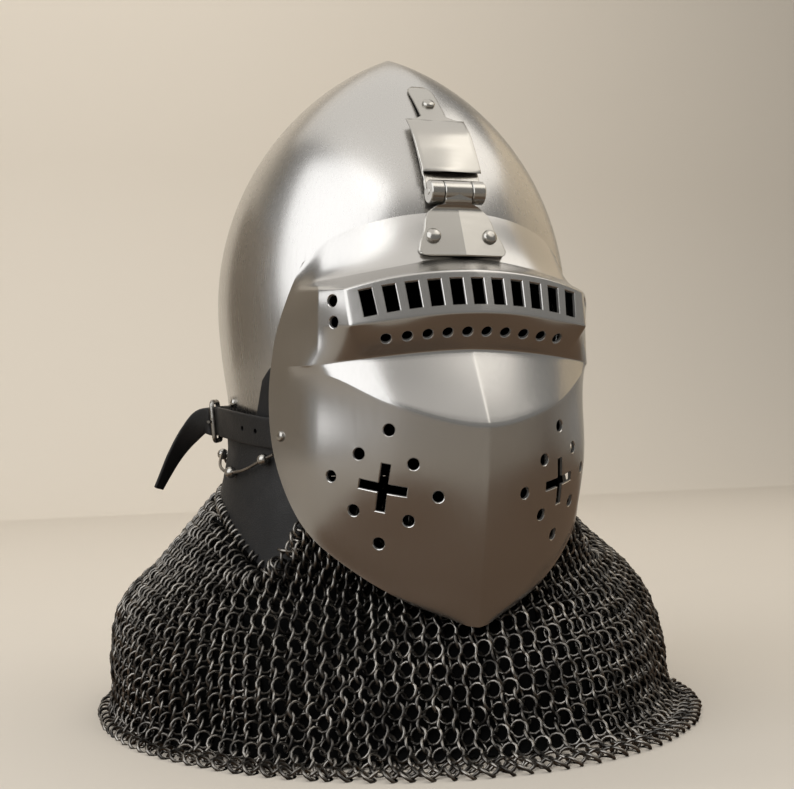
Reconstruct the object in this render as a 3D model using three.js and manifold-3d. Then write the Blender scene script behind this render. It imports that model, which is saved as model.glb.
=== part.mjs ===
// A bascinet: a pointed steel skull with a brow-hinged visor, a leather neck band held by studs and a
// wire, a buckled strap round the back, and a mail curtain that spreads on the table under it.
// Millimetres. +Z is up, the face looks along -Y and the wearer's left is +X.
// The origin is on the table, at the centre of the mail's hem.
import * as THREE from 'three';
import { mergeVertices } from 'three/addons/utils/BufferGeometryUtils.js';
import Module from 'manifold-3d';

const wasm = await Module();
wasm.setup();

// Driving dimensions
const GAP = 0.35; // clearance kept between pieces that touch
const AXIS_Y = -10; // the skull's axis stands 10 mm in front of the hem's centre

const SKULL = {
  halfWidth: 108, front: 109, back: 126, // half axes of the widest section
  wall: 2, rimZ: 142, widestZ: 248, apexZ: 404, sides: 32, levels: 8,
};
const SKULL_SIDES = [ // how the section narrows below its widest level
  { z: 142, share: 0.93 },
  { z: 165, share: 0.934 },
  { z: 190, share: 0.95 },
  { z: 217, share: 0.982 },
  { z: 248, share: 1 },
];
const FACE = { browZ: 264, templeZ: 240, cheekForward: 72, browForward: 112, corner: 14 };

// The visor's outer skin. Each row is one line across it: on the keel, at the corner of the sight box or
// cheek, at the shoulder where the side wall starts, and on the rear edge. lean is the section's slope at
// the keel, crease says whether the line is a sharp bend, and box how square the section is there.
const VISOR_WALL = 2;
const VISOR_ROWS = [
  { line: 'brow edge', keel: [107, 295], corner: [40, 98.5, 291], shoulder: [67, 84.5, 281],
    edge: [81, 75.5, 268], lean: 0.06, crease: 0, box: 0 },
  { line: 'shelf root', keel: [118, 268], corner: [58, 107, 260], shoulder: [77.5, 92, 257],
    edge: [86, 70, 255], lean: 0.06, crease: 0.6, box: 0 },
  { line: 'box top', keel: [133.5, 260], corner: [71, 120.5, 250], shoulder: [81, 104, 250],
    edge: [88.5, 67, 247], lean: 0.05, crease: 1, box: 1 },
  { line: 'box bottom', keel: [140.5, 236.5], corner: [70, 126, 230], shoulder: [81.5, 103.5, 231],
    edge: [93, 60, 228], lean: 0.05, crease: 1, box: 1 },
  { line: 'box foot', keel: [126.8, 217], corner: [62, 115.5, 212.5], shoulder: [81, 103.5, 210],
    edge: [95.5, 58, 211], lean: 0.1, crease: 1, box: 0 },
  { line: 'muzzle ridge', keel: [147.8, 176], corner: [50, 131, 189], shoulder: [80.5, 102.5, 205],
    edge: [97, 58, 196], lean: 0.22, crease: 1, box: 0 },
  { line: 'breaths', keel: [144, 143], corner: [53, 124.5, 143], shoulder: [79.5, 101, 149],
    edge: [94.5, 66.5, 150], lean: 0.25, crease: 0, box: 0 },
  { line: 'jaw', keel: [139.5, 115], corner: [52, 115.5, 113], shoulder: [72.5, 99, 116],
    edge: [83, 84.5, 117], lean: 0.26, crease: 0, box: 0 },
  { line: 'chin', keel: [135.5, 95], corner: [42, 116, 93], shoulder: [55, 107, 95],
    edge: [63, 101, 97], lean: 0.28, crease: 0, box: 0 },
  { line: 'chin point', keel: [132, 80], corner: [25, 122, 78], shoulder: [33, 117.5, 79],
    edge: [38, 114.5, 80.5], lean: 0.3, crease: 0, box: 0 },
  { line: 'tip', keel: [129, 65.5], corner: [3.5, 127.9, 66], shoulder: [5, 127.4, 66.3],
    edge: [6.5, 126.8, 66.7], lean: 0.3, crease: 0, box: 0 },
];
// Facets between the lines and between the rails.
const VISOR_STEPS = { down: [2, 1, 1, 1, 2, 3, 3, 2, 1, 1], across: [3, 2, 2] };
const SIGHTS = { count: 11, pitch: 12.05, width: 7.3, height: 15, line: 2.48 };
const BROW_HOLES = { count: 10, pitch: 11.3, diameter: 6, line: 3.5, sides: 6 };
const END_HOLES = { diameter: 6.6, lines: [2.32, 2.9], station: 1.5, sides: 6 };
const BREATHS = {
  x: 53, line: 6, tilt: 11, diameter: 6.7, sides: 8, // one cross and its ring of holes on each cheek
  across: 30, up: 31.5, upTilt: -6, // half diagonals of the diamond, and the lean of its upright one
  crossSpan: 27, crossArm: 5.2,
};
const PUNCH = 14; // how far a cutter reaches either side of the skin

const HINGE = {
  forward: 105.6, z: 306, barrel: 13.2, length: 32.5, knuckle: 16.4, pin: 4, pinHead: 0.3, sides: 16,
};
const SKULL_LEAF = {
  wall: 2.2, lift: 0.6, width: 34, topZ: 351,
  stand: 3.6, fall: 25, // how far it stands off the skull below its tongue, and over which height
  tongueWidth: 15.5, tongueTopZ: 377, tip: 3, tipShare: 0.6, // the tongue's rounded top
};
const LEAF_COVER = { wall: 2, width: 36, bottomZ: 318, freeZ: 333, topZ: 352, lift: 1.6 }; // free below freeZ
const VISOR_LEAF = {
  wall: 2.4, lift: 0.5, topZ: 298.5, bottomZ: 269,
  neckZ: 296, neckWall: 5.4, neckForward: 3.2, // the web between leaf and knuckle
};
const VISOR_LEAF_SIDES = [ // half widths from the knuckle down to the rounded lower corners
  { share: 0, half: 8 },
  { share: 0.1, half: 8.4 },
  { share: 0.16, half: 16 },
  { share: 0.55, half: 22.5 },
  { share: 0.84, half: 26 },
  { share: 0.95, half: 24.5 },
  { share: 1, half: 20.5 },
];
const LEAF_RIVET = { z: 363, diameter: 7.6, dome: 2.4 };
const PLATE_RIVET = { x: 16.9, z: 280.4, diameter: 8.6, dome: 2.8 };
const CHEEK_RIVET = { line: 5.56, station: 2.78, diameter: 6, dome: 1.9 };
const STRAP_RIVET = { angle: 55, diameter: 6, dome: 1.6 };
const SKULL_RIVET = { angle: -90.5, z: 189.7, diameter: 6, dome: 2.4 };

const BAND = {
  wall: 2.2, frontAngle: 48, tipAngle: 53.5, tipZ: 85, step: 11.4,
  rows: { flared: 3, upright: 2 }, // facets below and above the fold
};
const BAND_TOP = [ // upper edge of the leather, by angle from the front
  { angle: 48, z: 214 },
  { angle: 58, z: 214 },
  { angle: 62, z: 209 },
  { angle: 66, z: 202 },
  { angle: 70.5, z: 183 },
  { angle: 78.75, z: 177 },
  { angle: 180, z: 176 },
];
const BAND_BOTTOM = [ // lower edge, with a point under each cheek
  { angle: 48, z: 124 },
  { angle: 53.5, z: 85 },
  { angle: 62, z: 95 },
  { angle: 78.75, z: 112.5 },
  { angle: 90, z: 122.5 },
  { angle: 112.5, z: 133 },
  { angle: 180, z: 136 },
];
const BAND_FLARE = [ // how far it stands out from the line of the skull's lower edge
  { z: 85, out: 13 },
  { z: 120, out: 8 },
  { z: 138, out: 4.5 },
  { z: 148, out: 2.2 },
  { z: 156, out: 0.9 },
  { z: 162, out: 0 },
];
const VERVELLE = {
  angles: [65, 84, 114, 131, 147.5, 164, 180], // from one cheek to the nape, and the same on the other side
  diameter: 7, highZ: 157, lowZ: 148.5,
};
const WIRE = { diameter: 1.9, endAngle: 60.5, endZ: 160, steps: 60 };

const STRAP = {
  width: 18, wall: 2.4, ease: 0.4, frontAngle: 51, buckleAngle: 102, rise: 7.6, lowZ: 171.4,
  hole: 3, holeAngles: [69, 76], clear: 9, steps: { front: 8, tail: 9, back: 17 },
};
const TAIL = [ // the middle of the free end beyond the buckle
  { x: -112.5, forward: -43, z: 178.6 },
  { x: -120.5, forward: -50, z: 170 },
  { x: -129.5, forward: -56, z: 156 },
  { x: -134, forward: -59, z: 146.5 },
  { x: -138.5, forward: -62, z: 136.5 },
];
const TAIL_END = { lean: 58, share: 0.5 }; // how far it has turned over, in degrees, and how narrow it is
const BUCKLE = {
  height: 27, length: 15, wire: 3, eyeWall: 1.5,
  tongue: 2.2, tongueEye: 5, root: { along: 2.4, out: 1 }, overhang: 3, // the tongue's eye, foot and tip
};

const MAIL = { wall: 4, tuck: 13, bibZ: 134, bibRun: 2, step: 11.4 };
// Outer outlines of the mail below its upper edge, measured from the skull's axis. fold is the share of
// the folds' depth that shows at a level, and low blends from their upper depth to their lower one.
const MAIL_LEVELS = [
  { level: 'slope', z: 92, halfWidth: 141, front: 101, back: 162, fold: 0.7, low: 0 },
  { level: 'shoulder', z: 66, halfWidth: 164, front: 121, back: 186, fold: 1, low: 0.1 },
  { level: 'wall', z: 38, halfWidth: 172, front: 139, back: 190, fold: 1, low: 0.7 },
  { level: 'foot', z: 11, halfWidth: 174, front: 153, back: 193, fold: 1, low: 1 },
  { level: 'hem bend', z: 4, halfWidth: 178, front: 163, back: 198, fold: 0.7, low: 1 },
  { level: 'hem', z: 4, halfWidth: 185, front: 190, back: 210, fold: 0, low: 1 },
];
const MAIL_FOLDS = [ // swells and hollows round the curtain, by angle from the front to the wearer's left
  { angle: -112, spread: 30, high: 8, low: 3 },
  { angle: -55, spread: 9, high: -4, low: -6 },
  { angle: -32, spread: 12, high: 0, low: 5 },
  { angle: -4, spread: 9, high: 0, low: -3 },
  { angle: 22, spread: 12, high: 0, low: 4 },
  { angle: 54, spread: 9, high: -4, low: -5 },
  { angle: 92, spread: 14, high: -2, low: -4 },
  { angle: 124, spread: 14, high: 5, low: 3 },
  { angle: 150, spread: 10, high: -4, low: -5 },
  { angle: 178, spread: 13, high: 3, low: 3 },
  { angle: -152, spread: 10, high: -5, low: -5 },
];

const STEEL = new THREE.MeshStandardMaterial({ color: '#c9c8c4', roughness: 0.22, metalness: 1 });
const MAIL_STEEL = new THREE.MeshStandardMaterial({ color: '#5c5b59', roughness: 0.4, metalness: 1 });
const LEATHER = new THREE.MeshStandardMaterial({ color: '#242424', roughness: 0.6, metalness: 0 });

const helm = new THREE.Group();

// Small helpers
const radians = THREE.MathUtils.degToRad;
const mix = THREE.MathUtils.lerp;
const at = (x, forward, z) => new THREE.Vector3(x, -forward + AXIS_Y, z);
const UP = new THREE.Vector3(0, 0, 1);
// An angle folded to 0 at the face and 180 at the nape.
const fromFront = (angle) => Math.abs(((angle + 180) % 360 + 360) % 360 - 180);
const steps = (count) => Array.from({ length: count + 1 }, (_, i) => i / count);
const between = (from, to, count) => steps(count).map((share) => mix(from, to, share));
// Angles in rising order with more put between them where a gap is wider than most.
const fill = (angles, most) => angles.slice(1).reduce((filled, next) => {
  const last = filled[filled.length - 1];
  return [...filled, ...between(last, next, Math.ceil((next - last) / most)).slice(1)];
}, angles.slice(0, 1));
// The angles of one half, up to 180, and those of the other half after them.
const bothHalves = (half) => [
  ...half, ...half.filter((angle) => angle % 180).map((angle) => 360 - angle).reverse(),
];

function addPiece(name, geometry, material) {
  const mesh = new THREE.Mesh(geometry, material);
  mesh.name = name;
  helm.add(mesh);
}

// Straight interpolation in a table of rows sorted by key.
function lookUp(rows, key, value, place) {
  const after = rows.findIndex((row) => row[key] >= place);
  const i = after < 0 ? rows.length - 1 : Math.max(1, after);
  const [low, high] = [rows[i - 1], rows[i]];
  const share = THREE.MathUtils.clamp((place - low[key]) / (high[key] - low[key]), 0, 1);
  return mix(low[value], high[value], share);
}

// A geometry as a solid for cutting, and a solid back as a geometry.
function toSolid(geometry) {
  const bare = geometry.index ? geometry.toNonIndexed() : geometry.clone();
  bare.deleteAttribute('normal');
  bare.deleteAttribute('uv');
  const merged = mergeVertices(bare, 1e-4);
  return new wasm.Manifold(new wasm.Mesh({
    numProp: 3,
    vertProperties: new Float32Array(merged.getAttribute('position').array),
    triVerts: new Uint32Array(merged.index.array),
  }));
}

function join(geometries) {
  return toGeometry(geometries.map(toSolid).reduce((whole, solid) => whole.add(solid)));
}

function toGeometry(solid) {
  const { vertProperties, triVerts } = solid.getMesh();
  const geometry = new THREE.BufferGeometry();
  geometry.setAttribute('position', new THREE.BufferAttribute(vertProperties, 3));
  geometry.setIndex(new THREE.BufferAttribute(triVerts, 1));
  return geometry;
}

function cut(geometry, cutters) {
  return toGeometry(cutters.reduce((solid, cutter) => solid.subtract(toSolid(cutter)), toSolid(geometry)));
}

// A closed body from a grid of outer points and the grid of inner points behind it. wrap joins the last
// column to the first.
function gridBody(outer, inner, wrap = false) {
  const rows = outer.length;
  const columns = outer[0].length;
  const points = [...outer.flat(), ...inner.flat()];
  const index = [];
  const quad = (a, b, c, d) => index.push(a, b, c, a, c, d);
  const front = (r, c) => r * columns + (c % columns);
  const behind = (r, c) => rows * columns + front(r, c);
  const lastColumn = wrap ? columns : columns - 1;
  for (let r = 0; r < rows - 1; r++) {
    for (let c = 0; c < lastColumn; c++) {
      quad(front(r, c), front(r, c + 1), front(r + 1, c + 1), front(r + 1, c));
      quad(behind(r, c), behind(r + 1, c), behind(r + 1, c + 1), behind(r, c + 1));
    }
    if (!wrap) {
      quad(front(r, 0), front(r + 1, 0), behind(r + 1, 0), behind(r, 0));
      quad(front(r, lastColumn), behind(r, lastColumn), behind(r + 1, lastColumn), front(r + 1, lastColumn));
    }
  }
  for (let c = 0; c < lastColumn; c++) {
    quad(front(0, c), behind(0, c), behind(0, c + 1), front(0, c + 1));
    quad(front(rows - 1, c), front(rows - 1, c + 1), behind(rows - 1, c + 1), behind(rows - 1, c));
  }
  const geometry = new THREE.BufferGeometry().setFromPoints(points);
  geometry.setIndex(index);
  return facingOut(geometry);
}

// Turns a closed body's faces round where they point inwards.
function facingOut(geometry) {
  const p = geometry.getAttribute('position');
  const index = geometry.index.array;
  const [a, b, c] = [new THREE.Vector3(), new THREE.Vector3(), new THREE.Vector3()];
  let volume = 0;
  for (let i = 0; i < index.length; i += 3) {
    volume += a.fromBufferAttribute(p, index[i])
      .dot(b.fromBufferAttribute(p, index[i + 1]).cross(c.fromBufferAttribute(p, index[i + 2])));
  }
  if (volume < 0) geometry.setIndex([...index].reverse());
  return geometry;
}

// The same grid moved along its normals by a distance.
function offsetGrid(rows, distance, wrap = false) {
  const last = rows.length - 1;
  const columns = rows[0].length;
  const column = (c) => (wrap ? (c + columns) % columns : THREE.MathUtils.clamp(c, 0, columns - 1));
  return rows.map((row, r) => row.map((point, c) => {
    const along = new THREE.Vector3().subVectors(row[column(c + 1)], row[column(c - 1)]);
    const down = new THREE.Vector3()
      .subVectors(rows[Math.min(r + 1, last)][c], rows[Math.max(r - 1, 0)][c]);
    return point.clone().addScaledVector(down.cross(along).normalize(), distance);
  }));
}

// Skull: a pointed arch turned round, fuller at the back than at the front
const archRise = SKULL.apexZ - SKULL.widestZ;
const archRadius = (archRise ** 2 + SKULL.halfWidth ** 2) / (2 * SKULL.halfWidth);

// Share of the widest section at a height: a circular arch above, the narrowing neck below.
function skullShare(z) {
  if (z < SKULL.widestZ) return lookUp(SKULL_SIDES, 'z', 'share', z);
  const rise = Math.min(z - SKULL.widestZ, archRise);
  return (Math.sqrt(archRadius ** 2 - rise ** 2) - archRadius + SKULL.halfWidth) / SKULL.halfWidth;
}

// A point on the skull, or lift outside it, at an angle from the front towards the wearer's left.
function onSkull(angle, z, lift = 0) {
  const share = skullShare(z);
  const depth = Math.cos(radians(angle)) > 0 ? SKULL.front : SKULL.back;
  return at((SKULL.halfWidth * share + lift) * Math.sin(radians(angle)),
    (depth * share + lift) * Math.cos(radians(angle)), z);
}

function makeSkull() {
  const archLevels = steps(SKULL.levels).slice(1)
    .map((s) => SKULL.widestZ + archRise * Math.sin(s * Math.PI / 2));
  const levels = [...SKULL_SIDES.map((row) => row.z), ...archLevels];
  const outer = levels.map((z) => new THREE.Vector2(Math.max(0, SKULL.halfWidth * skullShare(z)), z));
  outer[outer.length - 1].x = 0;
  const inner = outer.map((point, i) => {
    const before = outer[Math.max(0, i - 1)];
    const after = outer[Math.min(outer.length - 1, i + 1)];
    const run = new THREE.Vector2().subVectors(after, before).normalize();
    return new THREE.Vector2(point.x - run.y * SKULL.wall, point.y + run.x * SKULL.wall);
  });
  inner[0].y = SKULL.rimZ;
  const tipDrop = SKULL.wall / Math.cos(Math.atan2(archRise, SKULL.halfWidth));
  inner[inner.length - 1].set(0, SKULL.apexZ - tipDrop);
  const geometry = new THREE.LatheGeometry([...outer.reverse(), ...inner].reverse(), SKULL.sides);
  geometry.rotateX(Math.PI / 2);
  const position = geometry.getAttribute('position');
  for (let i = 0; i < position.count; i++) {
    const forward = -position.getY(i);
    const depth = forward > 0 ? SKULL.front : SKULL.back;
    position.setY(i, -forward * depth / SKULL.halfWidth + AXIS_Y);
  }
  return cut(geometry, [faceCutter()]);
}

// The face opening is one side view, swept from ear to ear.
function faceCutter() {
  const outline = new THREE.Shape();
  const reach = 40; // past the front and below the rim
  const floorZ = SKULL.rimZ - reach;
  const sweep = 2 * SKULL.halfWidth + reach;
  outline.moveTo(FACE.browForward + reach, floorZ);
  outline.lineTo(FACE.browForward + reach, FACE.browZ);
  outline.lineTo(FACE.browForward, FACE.browZ);
  outline.lineTo(FACE.cheekForward + FACE.corner, mix(FACE.templeZ, FACE.browZ, 0.35));
  outline.quadraticCurveTo(FACE.cheekForward, FACE.templeZ, FACE.cheekForward, FACE.templeZ - FACE.corner);
  outline.lineTo(FACE.cheekForward, floorZ);
  outline.closePath();
  const settings = { depth: sweep, bevelEnabled: false, curveSegments: 4 };
  const geometry = new THREE.ExtrudeGeometry(outline, settings);
  geometry.translate(0, 0, -sweep / 2);
  // Shape x is forward and shape y is up.
  geometry.applyMatrix4(new THREE.Matrix4().set(0, 0, 1, 0, -1, 0, 0, AXIS_Y, 0, 1, 0, 0, 0, 0, 0, 1));
  return facingOut(mergeVertices(geometry.deleteAttribute('normal').deleteAttribute('uv'), 1e-4));
}

// A smooth or creased curve through points, as a value at position t counted in points. The slopes are
// per unit of length: slopesIn[i] arrives at point i and slopesOut[i] leaves it.
function hermite(points, slopesIn, slopesOut, t) {
  const i = Math.min(Math.floor(t), points.length - 2);
  const s = t - i;
  const length = points[i].distanceTo(points[i + 1]);
  const [s2, s3] = [s * s, s * s * s];
  return points[i].clone().multiplyScalar(2 * s3 - 3 * s2 + 1)
    .addScaledVector(slopesOut[i], (s3 - 2 * s2 + s) * length)
    .addScaledVector(points[i + 1], 3 * s2 - 2 * s3)
    .addScaledVector(slopesIn[i + 1], (s3 - s2) * length);
}

// Slopes for that curve: an average of both neighbours where crease is 0, straight runs where it is 1.
function slopesOf(points, creases) {
  const runs = points.slice(1).map((p, i) => {
    const run = new THREE.Vector3().subVectors(p, points[i]);
    const length = Math.max(run.length(), 1e-6);
    return { slope: run.divideScalar(length), length };
  });
  const smooth = points.map((_, i) => {
    if (i === 0) return runs[0].slope;
    if (i === points.length - 1) return runs[i - 1].slope;
    const share = runs[i - 1].length / (runs[i - 1].length + runs[i].length);
    return runs[i - 1].slope.clone().lerp(runs[i].slope, share);
  });
  const before = (i) => runs[Math.max(0, i - 1)].slope;
  const after = (i) => runs[Math.min(i, runs.length - 1)].slope;
  return {
    slopesIn: smooth.map((slope, i) => slope.clone().lerp(before(i), creases[i])),
    slopesOut: smooth.map((slope, i) => slope.clone().lerp(after(i), creases[i])),
  };
}

// Visor: lines down the keel, corners, shoulders and edges, then sections across them
const visorRails = ['keel', 'corner', 'shoulder', 'edge'].map((rail) => {
  const points = VISOR_ROWS.map((row) => (rail === 'keel' ? at(0, ...row.keel) : at(...row[rail])));
  const creased = rail === 'keel' || rail === 'corner';
  return { points, ...slopesOf(points, VISOR_ROWS.map((row) => (creased ? row.crease : 0))) };
});
const visorValue = (name, line) => {
  const i = Math.min(Math.floor(line), VISOR_ROWS.length - 2);
  return mix(VISOR_ROWS[i][name], VISOR_ROWS[i + 1][name], line - i);
};

// One half section at a line, and the point at a station on it: 0 keel, 1 corner, 2 shoulder, 3 edge.
function visorSection(line) {
  const points = visorRails.map((rail) => hermite(rail.points, rail.slopesIn, rail.slopesOut, line));
  const box = visorValue('box', line);
  const { slopesIn, slopesOut } = slopesOf(points, [0, box, box, 0]);
  const keelSlope = new THREE.Vector3(1, visorValue('lean', line), 0).normalize();
  const squareIn = slopesIn[1].clone().multiplyScalar(2).sub(keelSlope);
  slopesOut[0] = keelSlope;
  slopesIn[1].lerp(squareIn, box);
  return (station) => hermite(points, slopesIn, slopesOut, station);
}

function onVisor(line, station) {
  const point = visorSection(line)(Math.abs(station));
  if (station < 0) point.x = -point.x;
  return point;
}

// A frame on the visor's skin: its x axis runs across towards +X, y runs up and z points out.
function visorFrame(line, station) {
  const step = 0.04;
  const across = onVisor(line, station + step).sub(onVisor(line, station - step)).normalize();
  const up = onVisor(line - step, station).sub(onVisor(line + step, station)).normalize();
  const out = new THREE.Vector3().crossVectors(across, up).normalize();
  up.crossVectors(out, across);
  return new THREE.Matrix4().makeBasis(across, up, out).setPosition(onVisor(line, station));
}

// The station where a section reaches a distance x from the middle.
function stationAt(line, x) {
  const section = visorSection(line);
  let [low, high] = [0, 3];
  for (let i = 0; i < 30; i++) {
    const middle = (low + high) / 2;
    if (section(middle).x < Math.abs(x)) low = middle;
    else high = middle;
  }
  return Math.sign(x) * low;
}

function roundPunch(frame, { diameter, sides }, x = 0, y = 0) {
  const pin = new THREE.CylinderGeometry(diameter / 2, diameter / 2, 2 * PUNCH, sides);
  return pin.rotateX(Math.PI / 2).translate(x, y, 0).applyMatrix4(frame);
}

function sightCutters() {
  return Array.from({ length: SIGHTS.count }, (_, i) => {
    const x = (i - (SIGHTS.count - 1) / 2) * SIGHTS.pitch;
    const frame = visorFrame(SIGHTS.line, stationAt(SIGHTS.line, x));
    return new THREE.BoxGeometry(SIGHTS.width, SIGHTS.height, PUNCH).applyMatrix4(frame);
  });
}

function browHoleCutters() {
  return Array.from({ length: BROW_HOLES.count }, (_, i) => {
    const x = (i - (BROW_HOLES.count - 1) / 2) * BROW_HOLES.pitch;
    return roundPunch(visorFrame(BROW_HOLES.line, stationAt(BROW_HOLES.line, x)), BROW_HOLES);
  });
}

function endHoleCutters() {
  return [-1, 1].flatMap((side) => END_HOLES.lines.map((line) =>
    roundPunch(visorFrame(line, side * END_HOLES.station), END_HOLES)));
}

// Each cheek has a cross inside a diamond of eight holes, all punched the same way.
function breathCutters() {
  return [-1, 1].flatMap((side) => {
    const turn = new THREE.Matrix4().makeRotationZ(radians(BREATHS.tilt) * side);
    const frame = visorFrame(BREATHS.line, stationAt(BREATHS.line, side * BREATHS.x)).multiply(turn);
    const lean = Math.tan(radians(BREATHS.upTilt)) * side;
    const holes = steps(8).slice(1).map((share) => {
      const quarters = 4 * share; // of the way round the diamond
      const x = BREATHS.across * (Math.abs((quarters + 3) % 4 - 2) - 1);
      const y = BREATHS.up * (Math.abs((quarters + 2) % 4 - 2) - 1);
      return [x - y * lean, y];
    });
    const { crossSpan, crossArm } = BREATHS;
    return [
      ...holes.map(([x, y]) => roundPunch(frame, BREATHS, x, y)),
      new THREE.BoxGeometry(crossSpan, crossArm, 2 * PUNCH).applyMatrix4(frame),
      new THREE.BoxGeometry(crossArm, crossSpan, 2 * PUNCH).applyMatrix4(frame),
    ];
  });
}

function makeVisor() {
  const lines = VISOR_STEPS.down.flatMap((count, i) => steps(count).slice(i ? 1 : 0).map((s) => i + s));
  const half = VISOR_STEPS.across.flatMap((count, i) => steps(count).slice(1).map((s) => i + s));
  const stations = [...half.map((s) => -s).reverse(), 0, ...half];
  const outer = lines.map((line) => stations.map((station) => onVisor(line, station)));
  const shell = gridBody(outer, offsetGrid(outer, -VISOR_WALL));
  return cut(shell, [...sightCutters(), ...browHoleCutters(), ...endHoleCutters(), ...breathCutters()]);
}

// Hinge: a folded leaf on the skull, its cover, a leaf on the visor and the pin
const skullFront = (z) => SKULL.front * skullShare(z);
const visorFront = (z) => {
  const [top, root] = VISOR_ROWS;
  return mix(root.keel[0], top.keel[0], (z - root.keel[1]) / (top.keel[1] - root.keel[1]));
};

// A round bar on the hinge's axis.
function barrel(length, diameter) {
  return new THREE.CylinderGeometry(diameter / 2, diameter / 2, length, HINGE.sides)
    .rotateZ(Math.PI / 2).translate(...at(0, HINGE.forward, HINGE.z).toArray());
}

// A flat-fronted strip that follows a line forward(z), with a half width for each height.
function strip(levels, forward, halfWidth, wall) {
  const grid = (depth) => levels.map((z) =>
    between(-halfWidth(z), halfWidth(z), 4).map((x) => at(x, forward(z) + depth, z)));
  return gridBody(grid(wall), grid(0));
}

function leafBack(z) {
  const { lift, stand, fall, tongueTopZ, tip } = SKULL_LEAF;
  return skullFront(z) + lift + stand * THREE.MathUtils.clamp((tongueTopZ - tip - z) / fall, 0, 1);
}

function makeSkullLeaf() {
  const { wall, width, topZ, tongueWidth, tongueTopZ, tip, tipShare } = SKULL_LEAF;
  const clearBarrel = HINGE.z + HINGE.barrel * 0.2;
  const levels = [
    ...between(clearBarrel, topZ, 4), ...between(topZ + GAP, tongueTopZ - tip, 2), tongueTopZ,
  ];
  const halfWidth = (z) => {
    if (z <= topZ) return width / 2;
    return tongueWidth / 2 * (z < tongueTopZ ? 1 : tipShare);
  };
  const plate = strip(levels, leafBack, halfWidth, wall);
  const middle = new THREE.BoxGeometry(HINGE.knuckle + 2 * GAP, 3 * HINGE.barrel, 1.4 * HINGE.barrel)
    .translate(...at(0, HINGE.forward, HINGE.z).toArray());
  const bore = barrel(1.5 * HINGE.length, HINGE.pin + 2 * GAP);
  return cut(join([plate, barrel(HINGE.length, HINGE.barrel)]), [middle, bore]);
}

function makeLeafCover() {
  const { bottomZ, freeZ, topZ, width, wall, lift } = LEAF_COVER;
  const seat = SKULL_LEAF.wall + GAP;
  const forward = (z) => leafBack(z) + seat + lift * Math.max(0, (freeZ - z) / (freeZ - bottomZ));
  const levels = [...between(bottomZ, freeZ, 2), ...between(freeZ, topZ, 2).slice(1)];
  return strip(levels, forward, () => width / 2, wall);
}

// The leaf is creased down its middle, a little more than the visor's brow.
const visorLeafBend = VISOR_ROWS[0].lean + 0.05;

function makeVisorLeaf() {
  const { wall, topZ, bottomZ, neckZ, neckWall, neckForward, lift } = VISOR_LEAF;
  const grid = (depth) => VISOR_LEAF_SIDES.map(({ share, half }) => {
    const z = mix(topZ, bottomZ, share);
    return between(-half, half, 4).map((x) =>
      at(x, visorFront(z) + lift + depth - Math.abs(x) * visorLeafBend, z));
  });
  const knuckle = barrel(HINGE.knuckle, HINGE.barrel);
  const neck = new THREE.BoxGeometry(HINGE.knuckle, neckWall, HINGE.z - neckZ)
    .translate(...at(0, HINGE.forward + neckForward, (HINGE.z + neckZ) / 2).toArray());
  const bore = barrel(HINGE.length, HINGE.pin + 2 * GAP);
  return cut(join([gridBody(grid(wall), grid(0)), knuckle, neck]), [bore]);
}

// A low dome, its flat back a hair's breadth off the surface that it holds.
function seatedRivet(point, out, { diameter, dome }) {
  const rim = diameter / 2;
  const profile = [[0, 0], [1, 0], [1, 0.3], [0.7, 0.8], [0, 1]]
    .map(([r, z]) => new THREE.Vector2(r * rim, z * dome));
  const side = UP.clone().cross(out).normalize();
  const up = new THREE.Vector3().crossVectors(out, side);
  const seat = point.clone().addScaledVector(out, GAP);
  const frame = new THREE.Matrix4().makeBasis(side, up, out).setPosition(seat);
  return new THREE.LatheGeometry(profile, 8).rotateX(Math.PI / 2).applyMatrix4(frame);
}

// Leather: a band lying on the skull's lower edge that flares out below it
const bandLift = (z) => GAP + lookUp(BAND_FLARE, 'z', 'out', z);
// The inside of the neck, drawn in under the chin.
function onNeck(angle, z, lift) {
  const turned = fromFront(angle);
  const point = onSkull(angle, Math.max(z, SKULL.rimZ), bandLift(z) + lift);
  const inward = turned < BAND.frontAngle ? Math.cos(radians(turned * 90 / BAND.frontAngle)) ** 2 : 0;
  return at(point.x, AXIS_Y - point.y - MAIL.tuck * inward, z);
}

function makeBand() {
  const corners = [...new Set([...BAND_TOP, ...BAND_BOTTOM].map((row) => row.angle))].sort((a, b) => a - b);
  const angles = bothHalves(fill(corners, BAND.step));
  const foldZ = BAND_FLARE[BAND_FLARE.length - 1].z; // above it the leather lies on the skull
  const grid = (lift) => [
    ...steps(BAND.rows.flared).map((share) => angles.map((angle) => {
      const low = lookUp(BAND_BOTTOM, 'angle', 'z', fromFront(angle));
      return onNeck(angle, mix(low, foldZ, share), lift);
    })),
    ...steps(BAND.rows.upright).slice(1).map((share) => angles.map((angle) => {
      const high = lookUp(BAND_TOP, 'angle', 'z', fromFront(angle));
      return onNeck(angle, mix(foldZ, high, share), lift);
    })),
  ];
  return gridBody(grid(BAND.wall), grid(0));
}

// Studs on the band and the wire through them
const studs = [...VERVELLE.angles, ...VERVELLE.angles.slice(0, -1).reverse().map((angle) => 360 - angle)]
  .map((angle, i) => ({ angle, z: i % 2 ? VERVELLE.lowZ : VERVELLE.highZ }));
const studLift = BAND.wall + GAP + VERVELLE.diameter / 2;

function wirePath() {
  const end = { angle: WIRE.endAngle, z: WIRE.endZ };
  const route = [end, ...studs, { angle: 360 - end.angle, z: end.z }];
  const points = route.map(({ angle, z }) => onNeck(angle, z, studLift));
  return new THREE.CatmullRomCurve3(points, false, 'centripetal');
}

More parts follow.
